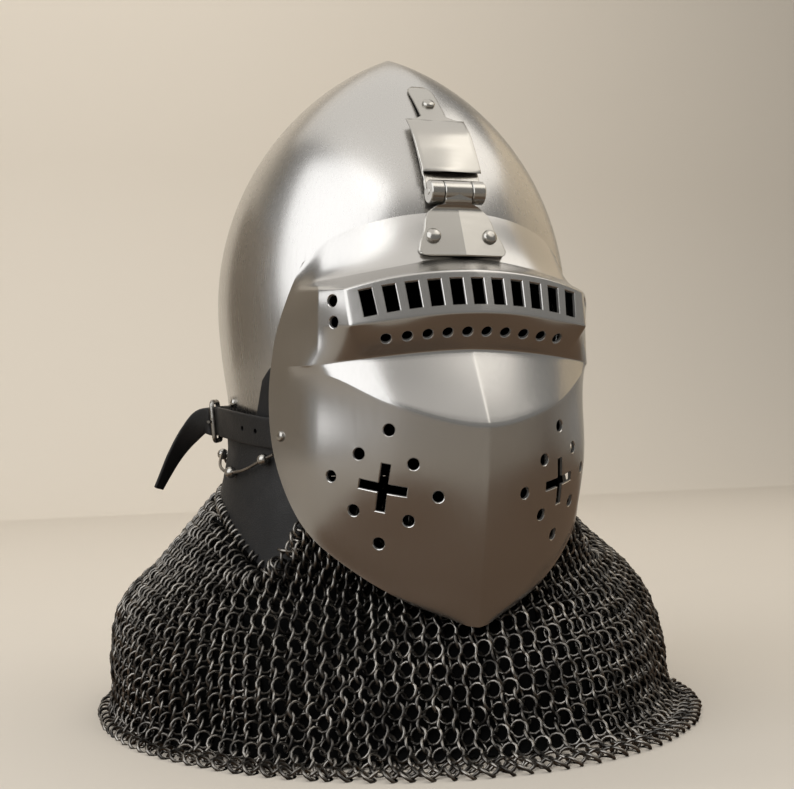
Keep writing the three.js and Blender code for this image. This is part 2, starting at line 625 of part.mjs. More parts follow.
function wireTube(diameter) {
  const ring = new THREE.Shape();
  ring.absarc(0, 0, diameter / 2, 0, 2 * Math.PI);
  const options = { steps: WIRE.steps, curveSegments: 3, extrudePath: wirePath(), bevelEnabled: false };
  return new THREE.ExtrudeGeometry(ring, options);
}

function addVervelles() {
  const path = wirePath();
  for (let i = 0; i < studs.length; i++) {
    const place = (i + 1) / (studs.length + 1);
    const middle = path.getPoint(place);
    const run = path.getTangent(place).multiplyScalar(VERVELLE.diameter);
    const bore = rod(middle.clone().sub(run), middle.clone().add(run), WIRE.diameter + 6 * GAP, 6);
    const ball = new THREE.SphereGeometry(VERVELLE.diameter / 2, 6, 4).translate(...middle.toArray());
    addPiece(`vervelle_${String(i + 1).padStart(2, '0')}`, cut(ball, [bore]), STEEL);
  }
  addPiece('vervelle_wire', wireTube(WIRE.diameter), STEEL);
}

// Strap: from under the visor's edge to the buckle, with a free tail, and on round the back
const strapLift = 2 * GAP + BAND.wall + STRAP.ease;

// Height of the strap's middle: it climbs from the cheek to the buckle and runs level behind it.
const strapZ = (angle) => {
  const share = (fromFront(angle) - STRAP.frontAngle) / (STRAP.buckleAngle - STRAP.frontAngle);
  return STRAP.lowZ + STRAP.rise * THREE.MathUtils.smoothstep(share, 0, 1);
};

function strapStation(angle) {
  const z = strapZ(angle);
  const along = onSkull(angle + 1, z, strapLift).sub(onSkull(angle - 1, z, strapLift)).normalize();
  const across = onSkull(angle, z + STRAP.width / 2).sub(onSkull(angle, z - STRAP.width / 2)).normalize();
  return { middle: onSkull(angle, z, strapLift), across, out: along.cross(across).normalize() };
}

// A leather ribbon: each station gives its middle, the way its width runs, the way its face looks and,
// at a pointed end, the share of the width that is left.
function ribbon(stations) {
  const grid = (depth) => stations.map(({ middle, across, out, share = 1 }) => [-0.5, 0, 0.5].map((side) =>
    middle.clone().addScaledVector(across, side * share * STRAP.width).addScaledVector(out, depth)));
  return gridBody(grid(STRAP.wall), grid(0));
}

// The buckle's own axes on the strap: along towards the face, up, and out from the helm.
const buckleFrame = (() => {
  const { middle, across, out } = strapStation(-STRAP.buckleAngle);
  return new THREE.Matrix4().makeBasis(across.clone().cross(out), across, out).setPosition(middle);
})();
const onBuckle = (along, up, out) => new THREE.Vector3(along, up, out).applyMatrix4(buckleFrame);

function rod(from, to, diameter, sides = 8) {
  const run = new THREE.Vector3().subVectors(to, from);
  const turn = new THREE.Quaternion().setFromUnitVectors(new THREE.Vector3(0, 1, 0), run.clone().normalize());
  return new THREE.CylinderGeometry(diameter / 2, diameter / 2, run.length(), sides)
    .applyQuaternion(turn).translate(...from.clone().add(to).divideScalar(2).toArray());
}

const eyeDiameter = BUCKLE.wire + 2 * GAP + 2 * BUCKLE.eyeWall;
const heel = { along: -BUCKLE.length / 2, out: eyeDiameter / 2 };
const rest = { along: BUCKLE.length / 2, out: STRAP.wall + GAP + BUCKLE.wire / 2 };
const heelRod = (half, diameter, sides) =>
  rod(onBuckle(heel.along, -half, heel.out), onBuckle(heel.along, half, heel.out), diameter, sides);
const tonguePin = (diameter) => {
  const overRest = rest.out + (BUCKLE.wire + BUCKLE.tongue) / 2 + 3 * GAP;
  const foot = onBuckle(heel.along + BUCKLE.root.along, 0, heel.out + BUCKLE.root.out);
  return rod(foot, onBuckle(rest.along + BUCKLE.overhang, 0, overRest), diameter, 6);
};

function makeBuckleFrame() {
  const half = BUCKLE.height / 2 - BUCKLE.wire / 2;
  const corners = [-1, 1].map((side) => [heel, rest].map((bar) => onBuckle(bar.along, side * half, bar.out)));
  const [[heelLow, restLow], [heelHigh, restHigh]] = corners;
  const bars = [[heelLow, heelHigh], [restLow, restHigh], [heelLow, restLow], [heelHigh, restHigh]];
  return join(bars.map(([from, to]) => {
    const past = new THREE.Vector3().subVectors(to, from).setLength(BUCKLE.wire / 2);
    return rod(from.clone().sub(past), to.clone().add(past), BUCKLE.wire, 6);
  }));
}

function makeBuckleTongue() {
  const eye = heelRod(BUCKLE.tongueEye / 2, eyeDiameter - 2 * GAP, 8);
  return cut(join([eye, tonguePin(BUCKLE.tongue)]), [heelRod(BUCKLE.height, BUCKLE.wire + 2 * GAP, 6)]);
}

// The strap runs under the buckle's front bar, climbs over its heel and leaves as a twisted tail.
function makeStrapFront() {
  const onHelm = between(STRAP.frontAngle, STRAP.buckleAngle - STRAP.clear, STRAP.steps.front)
    .map((angle) => strapStation(-angle));
  const { across: upright, out } = strapStation(-STRAP.buckleAngle);
  const overEye = eyeDiameter + GAP;
  const flat = BUCKLE.wire / 2; // half the level run under the front bar and over the heel
  const climb = [
    { along: rest.along + flat, lift: 0 },
    { along: rest.along - flat, lift: 0 },
    { along: heel.along + flat, lift: overEye },
    { along: heel.along - flat, lift: overEye },
  ].map(({ along, lift }) => ({ middle: onBuckle(along, 0, lift), across: upright, out }));
  const path = new THREE.CatmullRomCurve3([
    climb[climb.length - 1].middle, ...TAIL.map(({ x, forward, z }) => at(x, forward, z)),
  ]);
  const tail = steps(STRAP.steps.tail).slice(1).map((s) => {
    const run = path.getTangent(s);
    const lean = radians(TAIL_END.lean * Math.sin(s * Math.PI / 2));
    const sideways = UP.clone().cross(run).normalize();
    const across = new THREE.Vector3().crossVectors(run, sideways).applyAxisAngle(run, -lean);
    const share = mix(1, TAIL_END.share, s ** 0.8);
    return { middle: path.getPoint(s), across, out: run.negate().cross(across).normalize(), share };
  });
  const holes = STRAP.holeAngles.map((angle) => {
    const station = strapStation(-angle);
    const through = station.out.multiplyScalar(2 * STRAP.wall);
    return rod(station.middle.clone().sub(through), station.middle.clone().add(through), STRAP.hole, 6);
  });
  return cut(ribbon([...onHelm, ...climb, ...tail]), [tonguePin(BUCKLE.tongue + 2 * GAP), ...holes]);
}

// From the eye round the buckle's heel, past the nape, to the other cheek.
function makeStrapBack() {
  const start = { ...strapStation(-STRAP.buckleAngle), middle: onBuckle(heel.along, 0, 0) };
  const last = 360 - STRAP.frontAngle;
  const round = between(STRAP.buckleAngle + STRAP.clear, last, STRAP.steps.back)
    .map((angle) => strapStation(-angle));
  const eye = heelRod(STRAP.width / 2, eyeDiameter, 8);
  const gate = rod(onBuckle(heel.along, -BUCKLE.tongueEye / 2 - GAP, heel.out),
    onBuckle(heel.along, BUCKLE.tongueEye / 2 + GAP, heel.out), eyeDiameter + 2 * GAP, 8);
  const bore = heelRod(BUCKLE.height, BUCKLE.wire + 2 * GAP, 6);
  return cut(join([ribbon([start, ...round]), eye]), [bore, gate]);
}

// Rivets: on the hinge, the visor's cheeks, the strap's hidden ends and beside the buckle
function addRivets() {
  const slopeOut = (line, z) => at(0, 1, (line(z - 1) - line(z + 1)) / 2).sub(at(0, 0, 0)).normalize();
  const leafPoint = at(0, leafBack(LEAF_RIVET.z) + SKULL_LEAF.wall, LEAF_RIVET.z);
  addPiece('leaf_rivet', seatedRivet(leafPoint, slopeOut(skullFront, LEAF_RIVET.z), LEAF_RIVET), STEEL);
  const sides = { right: -1, left: 1 };
  Object.entries(sides).forEach(([name, side]) => {
    const { x, z } = PLATE_RIVET;
    const platePoint = at(side * x, visorFront(z) + VISOR_LEAF.lift + VISOR_LEAF.wall - x * visorLeafBend, z);
    const plateOut = slopeOut(visorFront, z).add(new THREE.Vector3(side * visorLeafBend, 0, 0)).normalize();
    addPiece(`visor_leaf_rivet_${name}`, seatedRivet(platePoint, plateOut, PLATE_RIVET), STEEL);
    const cheek = visorFrame(CHEEK_RIVET.line, side * CHEEK_RIVET.station);
    const cheekOut = new THREE.Vector3().setFromMatrixColumn(cheek, 2);
    const cheekPoint = new THREE.Vector3().setFromMatrixPosition(cheek);
    addPiece(`visor_cheek_rivet_${name}`, seatedRivet(cheekPoint, cheekOut, CHEEK_RIVET), STEEL);
    const { middle, out } = strapStation(side * STRAP_RIVET.angle);
    middle.addScaledVector(out, STRAP.wall);
    addPiece(`strap_rivet_${name}`, seatedRivet(middle, out, STRAP_RIVET), STEEL);
  });
  const { angle, z } = SKULL_RIVET;
  const skullOut = onSkull(angle, z, 1).sub(onSkull(angle, z)).normalize();
  addPiece('skull_rivet', seatedRivet(onSkull(angle, z), skullOut, SKULL_RIVET), STEEL);
}

// Mail: a hanging wall from the leather's lower edge to a hem that lies flat
function mailTop(angle) {
  const turned = fromFront(angle);
  if (turned >= BAND.tipAngle) return lookUp(BAND_BOTTOM, 'angle', 'z', turned) - GAP;
  const run = BAND.tipAngle - BAND.frontAngle + MAIL.bibRun;
  const share = THREE.MathUtils.clamp((BAND.tipAngle - turned) / run, 0, 1);
  return mix(BAND.tipZ - GAP, MAIL.bibZ, share);
}

// How far the folds push the mail out at an angle, high on the shoulder or low at the foot.
function foldDepth(angle, low) {
  return MAIL_FOLDS.reduce((sum, fold) => {
    const away = ((angle - fold.angle + 180) % 360 + 360) % 360 - 180;
    return sum + mix(fold.high, fold.low, low) * Math.exp(-((away / fold.spread) ** 2));
  }, 0);
}

function mailOutline({ halfWidth, front, back, z, fold, low }, angle, inset) {
  const [sine, cosine] = [Math.sin(radians(angle)), Math.cos(radians(angle))];
  const swell = fold * foldDepth(angle, low) - inset;
  return at((halfWidth + swell) * sine, ((cosine > 0 ? front : back) + swell) * cosine, z);
}

function makeMail() {
  const corners = [0, BAND.frontAngle - MAIL.bibRun, ...BAND_BOTTOM.map((row) => row.angle)];
  const angles = bothHalves(fill(corners, MAIL.step));
  const upper = (lift) => [0, 0.5].map((share) => angles.map((angle) => {
    const neck = onNeck(angle, mailTop(angle), lift - MAIL.wall / 2 + BAND.wall / 2);
    return neck.lerp(mailOutline(MAIL_LEVELS[0], angle, MAIL.wall - lift), share);
  }));
  const lower = (inset, drop) => MAIL_LEVELS.map((level) => angles.map((angle) => {
    const point = mailOutline(level, angle, inset);
    if (level.level.startsWith('hem')) point.z -= drop;
    return point;
  }));
  const outer = [...upper(MAIL.wall), ...lower(0, 0)];
  const inner = [...upper(0), ...lower(MAIL.wall, MAIL.wall)];
  inner[inner.length - 1] = outer[outer.length - 1].map((point) => point.clone().setZ(0));
  return gridBody(outer, inner, true);
}

// Assembly
addPiece('skull', makeSkull(), STEEL);
addPiece('visor', makeVisor(), STEEL);
addPiece('skull_leaf', makeSkullLeaf(), STEEL);
addPiece('leaf_cover', makeLeafCover(), STEEL);
addPiece('visor_leaf', makeVisorLeaf(), STEEL);
addPiece('hinge_pin', barrel(HINGE.length + 2 * HINGE.pinHead, HINGE.pin), STEEL);
addRivets();
addPiece('leather_band', makeBand(), LEATHER);
addVervelles();
addPiece('strap_front', makeStrapFront(), LEATHER);
addPiece('strap_back', makeStrapBack(), LEATHER);
addPiece('buckle_frame', makeBuckleFrame(), STEEL);
addPiece('buckle_tongue', makeBuckleTongue(), STEEL);
addPiece('mail', makeMail(), MAIL_STEEL);

export default helm;
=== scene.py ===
# A bascinet with a hinged visor, a leather neck band, a buckled strap and a mail curtain, on a table.
import math
import bpy
import numpy as np
from mathutils import Matrix
from mathutils.geometry import delaunay_2d_cdt


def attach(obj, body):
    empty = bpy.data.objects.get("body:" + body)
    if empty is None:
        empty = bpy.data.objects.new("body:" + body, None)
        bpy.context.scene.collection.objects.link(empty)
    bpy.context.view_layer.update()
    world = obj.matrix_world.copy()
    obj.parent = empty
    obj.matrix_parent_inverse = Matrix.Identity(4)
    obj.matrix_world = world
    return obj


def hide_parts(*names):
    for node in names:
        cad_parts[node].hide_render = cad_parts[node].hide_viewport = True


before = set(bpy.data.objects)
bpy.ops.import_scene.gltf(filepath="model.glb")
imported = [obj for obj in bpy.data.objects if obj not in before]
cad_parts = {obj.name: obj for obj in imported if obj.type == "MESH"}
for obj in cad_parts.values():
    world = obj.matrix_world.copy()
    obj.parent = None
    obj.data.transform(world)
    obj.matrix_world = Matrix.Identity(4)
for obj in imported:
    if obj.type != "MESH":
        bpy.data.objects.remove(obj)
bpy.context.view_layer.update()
print("frame loaded:", len(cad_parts), "nodes")

mm = 0.001           # sizes below are millimetres, meshes are metres
axisForward = 10     # the skull's axis stands this far in front of the hem's centre
random = np.random.default_rng(11)


# Helm directions to the frame: x to the wearer's left, forward out of the face, z up.
def place(x, forward, z):
    x, forward, z = np.broadcast_arrays(x, forward, z)
    return np.stack([x, -forward - axisForward, z], axis=-1).astype(float)


def unit(vectors):
    return vectors / np.maximum(np.linalg.norm(vectors, axis=-1, keepdims=True), 1e-9)


# Length along lines of points, from 0 at the first point of each.
def lengthAlong(points):
    steps = np.linalg.norm(np.diff(points, axis=-2), axis=-1)
    return np.concatenate([np.zeros((*steps.shape[:-1], 1)), np.cumsum(steps, axis=-1)], axis=-1)


# From 0 to 1, slow at both ends: three squares less two cubes of the share.
def smoothStep(value):
    share = np.clip(value, 0, 1)
    return share**2 * (3 - 2 * share)


# Cubic pieces through a short table, each point sloped like the average of its two runs.
def smoothTable(x, xs, ys, endSlope=None):
    xs, ys = np.asarray(xs, float), np.asarray(ys, float)
    steps = np.diff(xs)
    runs = np.diff(ys) / steps
    inner = (runs[1:] * steps[:-1] + runs[:-1] * steps[1:]) / (steps[1:] + steps[:-1])
    slopes = np.concatenate([runs[:1], inner, runs[-1:]])
    if endSlope is not None:
        slopes[-1] = endSlope
    x = np.clip(x, xs[0], xs[-1])
    i = np.clip(np.searchsorted(xs, x) - 1, 0, len(xs) - 2)
    s = (x - xs[i]) / steps[i]
    return ((2 * s**3 - 3 * s**2 + 1) * ys[i] + (s**3 - 2 * s**2 + s) * steps[i] * slopes[i]
            + (3 * s**2 - 2 * s**3) * ys[i + 1] + (s**3 - s**2) * steps[i] * slopes[i + 1])


# Catmull-Rom curve through points, sampled evenly along its length.
def smoothPath(points, count):
    points = np.asarray(points, float)
    chord = lengthAlong(points)
    fine = np.linspace(0, chord[-1], 40 * len(points))
    path = np.stack([smoothTable(fine, chord, points[:, k]) for k in range(3)], axis=-1)
    length = lengthAlong(path)
    even = np.linspace(0, length[-1], count)
    return np.stack([np.interp(even, length, path[:, k]) for k in range(3)], axis=-1)


# Mesh from points in millimetres and arrays of triangles or quads.
def makeMesh(name, points, *faceSets, sharp=None):
    mesh = bpy.data.meshes.new(name)
    mesh.vertices.add(len(points))
    mesh.vertices.foreach_set("co", np.asarray(points * mm, np.float32).ravel())
    corners = np.concatenate([np.asarray(faces, np.int32).ravel() for faces in faceSets])
    sizes = np.concatenate([np.full(len(faces), faces.shape[1]) for faces in faceSets])
    mesh.loops.add(len(corners))
    mesh.loops.foreach_set("vertex_index", corners)
    mesh.polygons.add(len(sizes))
    mesh.polygons.foreach_set("loop_start", (np.cumsum(sizes) - sizes).astype(np.int32))
    mesh.update(calc_edges=True)
    mesh.validate()
    mesh.shade_smooth()
    if sharp:
        mesh.set_sharp_from_angle(angle=math.radians(sharp))
    return mesh


# Six times the volume inside a closed mesh, to tell which way its faces point.
def signedVolume(points, *faceSets):
    total = 0.0
    for faces in faceSets:
        for k in range(1, faces.shape[1] - 1):
            a, b, c = points[faces[:, 0]], points[faces[:, k]], points[faces[:, k + 1]]
            total += np.einsum("ij,ij->i", a, np.cross(b, c)).sum()
    return total


# Closed sections joined one after the other, with a fan of triangles on each end, or end to end in a ring.
def loft(sections, ring=False):
    count, sides = sections.shape[:2]
    index = np.arange(count * sides).reshape(count, sides)
    around = np.roll(index, -1, axis=1)
    ahead = np.roll(index, -1, axis=0)
    aheadAround = np.roll(around, -1, axis=0)
    last = count if ring else count - 1
    quads = np.stack([index, around, aheadAround, ahead], axis=-1)[:last].reshape(-1, 4)
    points = sections.reshape(-1, 3)
    fans = np.zeros((0, 3), int)
    if not ring:
        middles = sections[[0, -1]].mean(axis=1)
        first = np.stack([around[0], index[0], np.full(sides, len(points))], axis=-1)
        final = np.stack([index[-1], around[-1], np.full(sides, len(points) + 1)], axis=-1)
        points = np.concatenate([points, middles])
        fans = np.concatenate([first, final])
    if signedVolume(points, quads, fans) < 0:
        quads, fans = quads[:, ::-1], fans[:, ::-1]
    return points, quads, fans


# Several closed bodies as one mesh.
def joined(name, bodies, sharp=None):
    offsets = np.concatenate([[0], np.cumsum([len(points) for points, _, _ in bodies])])
    points = np.concatenate([points for points, _, _ in bodies])
    quads = np.concatenate([quads + start for (_, quads, _), start in zip(bodies, offsets)])
    fans = np.concatenate([fans + start for (_, _, fans), start in zip(bodies, offsets)])
    return makeMesh(name, points, quads, fans, sharp=sharp)


# A flat section with round edges: values across it for each half width, and depths from 0 to wall.
def slab(half, wall, edge, across=16):
    core = np.concatenate([np.linspace(-1, 1, across), np.ones(4), np.linspace(1, -1, across), -np.ones(4)])
    turn = np.radians(np.concatenate([np.full(across, 90), [60, 20, -20, -60],
                                      np.full(across, -90), [-120, -160, -200, -240]]))
    side = core * (np.asarray(half)[:, None] - edge) + edge * np.cos(turn)
    depth = wall / 2 + (wall / 2 - edge) * np.sign(np.sin(turn)) + edge * np.sin(turn)
    return side, np.broadcast_to(depth, side.shape)


# Round sections along a path: two directions at right angles to the path carry the circle.
def tube(path, diameters, sides=12, ring=False, up=(0, 0, 1)):
    ahead = np.roll(path, -1, axis=0) - np.roll(path, 1, axis=0) if ring else np.gradient(path, axis=0)
    ahead = unit(ahead)
    side = unit(np.cross(ahead, np.asarray(up, float)))
    rise = np.cross(side, ahead)
    turn = np.linspace(0, 2 * np.pi, sides, endpoint=False)
    radius = np.broadcast_to(np.asarray(diameters, float) / 2, len(path))[:, None, None]
    circle = np.cos(turn)[:, None] * side[:, None] + np.sin(turn)[:, None] * rise[:, None]
    return loft(path[:, None] + radius * circle, ring)


# A profile of radius and height turned round an axis that stands on a point.
def turned(profile, point, axis, sides=32):
    profile = np.asarray(profile, float)
    axis = unit(np.asarray(axis, float))
    side = unit(np.cross(axis, [0.31, 0.2, 0.93])) # no piece is turned round this slant
    other = np.cross(axis, side)
    turn = np.linspace(0, 2 * np.pi, sides, endpoint=False)
    circle = np.cos(turn)[:, None] * side + np.sin(turn)[:, None] * other
    return loft(np.asarray(point, float) + profile[:, :1, None] * circle + profile[:, 1:, None] * axis)


# Marks points for the materials: 1 on the inside of a sheet, where the steel is painted near black as shade,
# and 0 on its face.
def markInside(mesh, inside):
    mark = mesh.attributes.new("inside", "FLOAT", "POINT")
    mark.data.foreach_set("value", np.asarray(inside, np.float32))
    return mesh


def addPiece(name, mesh, body, material, replaced):
    piece = bpy.data.objects.new(name, mesh)
    bpy.context.scene.collection.objects.link(piece)
    mesh.materials.append(material)
    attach(piece, body)
    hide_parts(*replaced)


# Closed bodies as one piece, shaded smooth up to an angle.
def addBodies(name, bodies, body, material, replaced, sharp=50):
    addPiece(name, joined(name, bodies, sharp), body, material, replaced)


# Materials
def linear(code):
    parts = np.array([int(code[i:i + 2], 16) for i in (1, 3, 5)]) / 255
    values = np.where(parts <= 0.04045, parts / 12.92, ((parts + 0.055) / 1.055) ** 2.4)
    return (*values.tolist(), 1.0)


# An input is a value, or the socket that feeds it.
def feed(material, node, inputs):
    for name, value in inputs.items():
        if isinstance(value, bpy.types.NodeSocket):
            material.node_tree.links.new(value, node.inputs[name])
        else:
            node.inputs[name].default_value = value


# One node with its inputs and settings.
def addNode(material, kind, inputs, **settings):
    made = material.node_tree.nodes.new(kind)
    for name, value in settings.items():
        setattr(made, name, value)
    feed(material, made, inputs)
    return made


def newMaterial(name, inputs):
    material = bpy.data.materials.new(name)
    material.use_nodes = True
    shader = material.node_tree.nodes["Principled BSDF"]
    feed(material, shader, inputs)
    return material, shader


# Noise repeats in a metre for a feature of this size in millimetres.
def perMetre(size):
    return 1 / (size * mm)


# Sheet steel polished on a wheel to a soft satin, with painted shade on the inside: the inner faces are near
# black, rough and not metallic.
# Reflections are a little blurred, wander over the hammered form and carry faint streaks along the polishing.
def polishedSteel(name, color, roughness, wander, streaks=(1.6, 1.6, 40)):
    material, shader = newMaterial(name, {})
    spot = addNode(material, "ShaderNodeTexCoord", {}).outputs["Object"]
    inside = addNode(material, "ShaderNodeAttribute", {}, attribute_name="inside").outputs["Fac"]
    # the inside faces take a near-black colour: painted shade for the dark hollow of the helm
    colors = {"Factor": inside, 6: linear(color), 7: linear("#0e0d0c")}
    blend = addNode(material, "ShaderNodeMix", colors, data_type="RGBA")
    along = addNode(material, "ShaderNodeMapping", {"Vector": spot, "Scale": [perMetre(s) for s in streaks]})
    streak = addNode(material, "ShaderNodeTexNoise", {"Vector": along.outputs[0], "Scale": 1.0, "Detail": 3})
    gloss = addNode(material, "ShaderNodeMapRange", {
        "Value": streak.outputs["Fac"], "From Min": 0.3, "From Max": 0.7,
        "To Min": roughness - 0.015, "To Max": roughness + 0.02})
    rough = addNode(material, "ShaderNodeMix", {"Factor": inside, "A": gloss.outputs[0], "B": 0.8})
    shine = addNode(material, "ShaderNodeMath", {0: 1.0, 1: inside}, operation="SUBTRACT")
    dents = addNode(material, "ShaderNodeTexNoise", {"Vector": spot, "Scale": perMetre(wander), "Detail": 1})
    form = addNode(material, "ShaderNodeBump", {
        "Height": dents.outputs["Fac"], "Strength": 0.25, "Distance": 0.6 * mm})
    lines = addNode(material, "ShaderNodeBump", {
        "Height": streak.outputs["Fac"], "Strength": 0.025, "Distance": 0.2 * mm, "Normal": form.outputs[0]})
    feed(material, shader, {"Base Color": blend.outputs[2], "Metallic": shine.outputs[0],
                            "Roughness": rough.outputs[0], "Normal": lines.outputs[0]})
    return material


# Round steel wire blackened in oil, darker and brighter in patches at random.
def blackenedSteel(name, dark, bright, roughness):
    material, shader = newMaterial(name, {"Metallic": 1.0})
    spot = addNode(material, "ShaderNodeTexCoord", {}).outputs["Object"]
    rub = addNode(material, "ShaderNodeTexNoise", {"Vector": spot, "Scale": perMetre(9), "Detail": 4})
    share = addNode(material, "ShaderNodeMapRange", {
        "Value": rub.outputs["Fac"], "From Min": 0.36, "From Max": 0.66})
    colors = {"Factor": share.outputs[0], 6: linear(dark), 7: linear(bright)}
    blend = addNode(material, "ShaderNodeMix", colors, data_type="RGBA")
    gloss = addNode(material, "ShaderNodeMapRange", {
        "Value": rub.outputs["Fac"], "From Min": 0.3, "From Max": 0.7,
        "To Min": roughness + 0.1, "To Max": roughness - 0.06})
    feed(material, shader, {"Base Color": blend.outputs[2], "Roughness": gloss.outputs[0]})
    return material


# Vegetable-tanned hide dyed black: a matt, faintly pebbled grain with rubbed, greyer patches.
def dyedLeather(name, color, rubbed, roughness, grain):
    material, shader = newMaterial(name, {"IOR": 1.5})
    spot = addNode(material, "ShaderNodeTexCoord", {}).outputs["Object"]
    patch = addNode(material, "ShaderNodeTexNoise", {
        "Vector": spot, "Scale": perMetre(28), "Detail": 6, "Roughness": 0.6})
    share = addNode(material, "ShaderNodeMapRange", {
        "Value": patch.outputs["Fac"], "From Min": 0.4, "From Max": 0.72})
    colors = {"Factor": share.outputs[0], 6: linear(color), 7: linear(rubbed)}
    blend = addNode(material, "ShaderNodeMix", colors, data_type="RGBA")
    pebbles = {"Vector": spot, "Scale": perMetre(grain)}
    cells = addNode(material, "ShaderNodeTexVoronoi", pebbles, feature="SMOOTH_F1")
    creases = addNode(material, "ShaderNodeTexNoise", {"Vector": spot, "Scale": perMetre(7), "Detail": 5})
    heights = {0: cells.outputs["Distance"], 1: creases.outputs["Fac"]}
    height = addNode(material, "ShaderNodeMath", heights, operation="ADD")
    bump = addNode(material, "ShaderNodeBump", {
        "Height": height.outputs[0], "Strength": 0.5, "Distance": 0.3 * mm})
    gloss = addNode(material, "ShaderNodeMapRange", {
        "Value": patch.outputs["Fac"], "From Min": 0.3, "From Max": 0.7,
        "To Min": roughness + 0.08, "To Max": roughness - 0.08})
    feed(material, shader, {"Base Color": blend.outputs[2], "Roughness": gloss.outputs[0],
                            "Normal": bump.outputs[0]})
    return material


# A near-black matt sheet close behind the rings, painted shade: it only darkens what shows between them.
def paintedShadeSheet(name, color):
    return newMaterial(name, {"Base Color": linear(color), "Roughness": 0.95, "Specular IOR Level": 0.1})[0]


skullSteel = polishedSteel("wheel_polished_steel", "#c4c2bf", 0.26, 40)
visorSteel = polishedSteel("wheel_polished_visor_steel", "#c2c0bd", 0.23, 34)
hingeSteel = polishedSteel("filed_hinge_steel", "#b9b6b0", 0.25, 25, (60, 2.5, 2.5))
rivetSteel = polishedSteel("peened_rivet_steel", "#b4b1ab", 0.22, 3)
wireSteel = blackenedSteel("bare_steel_wire", "#7d7872", "#a8a29a", 0.3)
buckleSteel = polishedSteel("bent_buckle_steel", "#a5a29c", 0.26, 4)
bandLeather = dyedLeather("black_band_leather", "#0e0e0f", "#1a1a1b", 0.62, 0.9)
strapLeather = dyedLeather("black_strap_leather", "#0b0b0c", "#151516", 0.5, 1.1)
mailSteel = blackenedSteel("blackened_mail_wire", "#3a3836", "#9a9690", 0.3)
shadeSheetPaint = paintedShadeSheet("painted_shade_behind_mail", "#080808")
print("materials made")


# Skull: a pointed arch turned round, fuller at the back than at the front
skullSize = {
    "halfWidth": 108, "front": 109, "back": 126, "wall": 2,
    "rimZ": 142, "widestZ": 248, "apexZ": 404, "tipRound": 0.5,
    "neckZ": [142, 165, 190, 217, 248], "neckShare": [0.93, 0.934, 0.95, 0.982, 1],
    "browZ": 264, "browForward": 112, "templeZ": 240, "templeShare": 0.35, "cheekForward": 72, "corner": 14,
    "lip": 0.35, "columns": 120, "rows": 64,
}
archRise = skullSize["apexZ"] - skullSize["widestZ"]
archRadius = (archRise**2 + skullSize["halfWidth"] ** 2) / (2 * skullSize["halfWidth"])


# Share of the widest section at a height: a circular arch above, the narrowing neck below.
def skullShare(z):
    rise = np.clip(z - skullSize["widestZ"], 0, archRise)
    arch = 1 - (archRadius - np.sqrt(archRadius**2 - rise**2)) / skullSize["halfWidth"]
    neck = smoothTable(z, skullSize["neckZ"], skullSize["neckShare"], endSlope=0)
    return np.where(np.asarray(z) > skullSize["widestZ"], arch, neck)


# Two half ellipses at each height, angle in degrees from the face to the wearer's left.
def onSkull(angle, z, lift=0):
    turn = np.radians(angle)
    share = skullShare(z)
    depth = np.where(np.cos(turn) > 0, skullSize["front"], skullSize["back"])
    halfWidth = skullSize["halfWidth"] * share
    return place((halfWidth + lift) * np.sin(turn), (depth * share + lift) * np.cos(turn), z)


def skullNormal(angle, z):
    step = 0.05
    across = onSkull(angle + step, z) - onSkull(angle - step, z)
    up = onSkull(angle, z + step) - onSkull(angle, z - step)
    return unit(np.cross(across, up))


# The free edge of one half: along the brow, round the temple, down the cheek and along the rim to the nape.
def skullEdge():
    size = skullSize
    temple = size["templeZ"] + size["templeShare"] * (size["browZ"] - size["templeZ"])
    t = np.linspace(0, 1, 60)
    brow = np.stack([size["browForward"] + t * (size["cheekForward"] + size["corner"] - size["browForward"]),
                     size["browZ"] + t * (temple - size["browZ"])], axis=-1)
    ends = np.array([[size["cheekForward"] + size["corner"], temple], [size["cheekForward"], size["templeZ"]],
                     [size["cheekForward"], size["templeZ"] - size["corner"]]])
    bend = np.stack([(1 - t) ** 2, 2 * t * (1 - t), t**2], axis=-1) @ ends
    cheekZ = ends[2, 1] + t * (size["rimZ"] - ends[2, 1])
    cheek = np.stack([np.full(len(t), size["cheekForward"]), cheekZ], axis=-1)
    side = np.concatenate([brow, bend[1:], cheek[1:]])
    angle = np.degrees(np.arccos(np.clip(side[:, 0] / (size["front"] * skullShare(side[:, 1])), -1, 1)))
    start = np.argmax(angle > 0) - 1
    angle, z = angle[start:], side[start:, 1]
    rim = np.linspace(angle[-1], 180, 120)[1:]
    angle, z = np.concatenate([angle, rim]), np.concatenate([z, np.full(len(rim), size["rimZ"])])
    length = lengthAlong(onSkull(angle, z))
    even = np.linspace(0, length[-1], size["columns"] + 1)
    return np.interp(even, length, angle), np.interp(even, length, z)


# Each column climbs from its place on the free edge to the tip while its angle spreads evenly round it.
def makeSkull():
    angle, z = skullEdge()
    angle = np.concatenate([angle, -angle[-2:0:-1]])
    z = np.concatenate([z, z[-2:0:-1]])
    half = skullSize["columns"]
    spread = np.concatenate([np.linspace(0, 180, half + 1), -np.linspace(0, 180, half + 1)[-2:0:-1]])
    rise = np.linspace(0, 1, skullSize["rows"])[:, None]
    heights = z + (skullSize["apexZ"] - skullSize["tipRound"] - z) * np.sin(rise * np.pi / 2)
    angles = angle + (spread - angle) * rise**1.2
    outer = onSkull(angles, heights)
    inner = outer - skullSize["wall"] * skullNormal(angles, heights)
    rimDown = unit(outer[0] - outer[1])
    lip = (outer[0] + inner[0]) / 2 + skullSize["lip"] * rimDown
    body = loft(np.concatenate([inner[::-1], lip[None], outer]))
    inside = np.arange(len(body[0])) < inner.size // 3
    inside[-2] = True # the middle of the fan that closes the inner tip
    return markInside(joined("skull_shell", [body], sharp=60), inside)


addPiece("skull_shell", makeSkull(), "helm", skullSteel, ["skull"])
print("skull made")


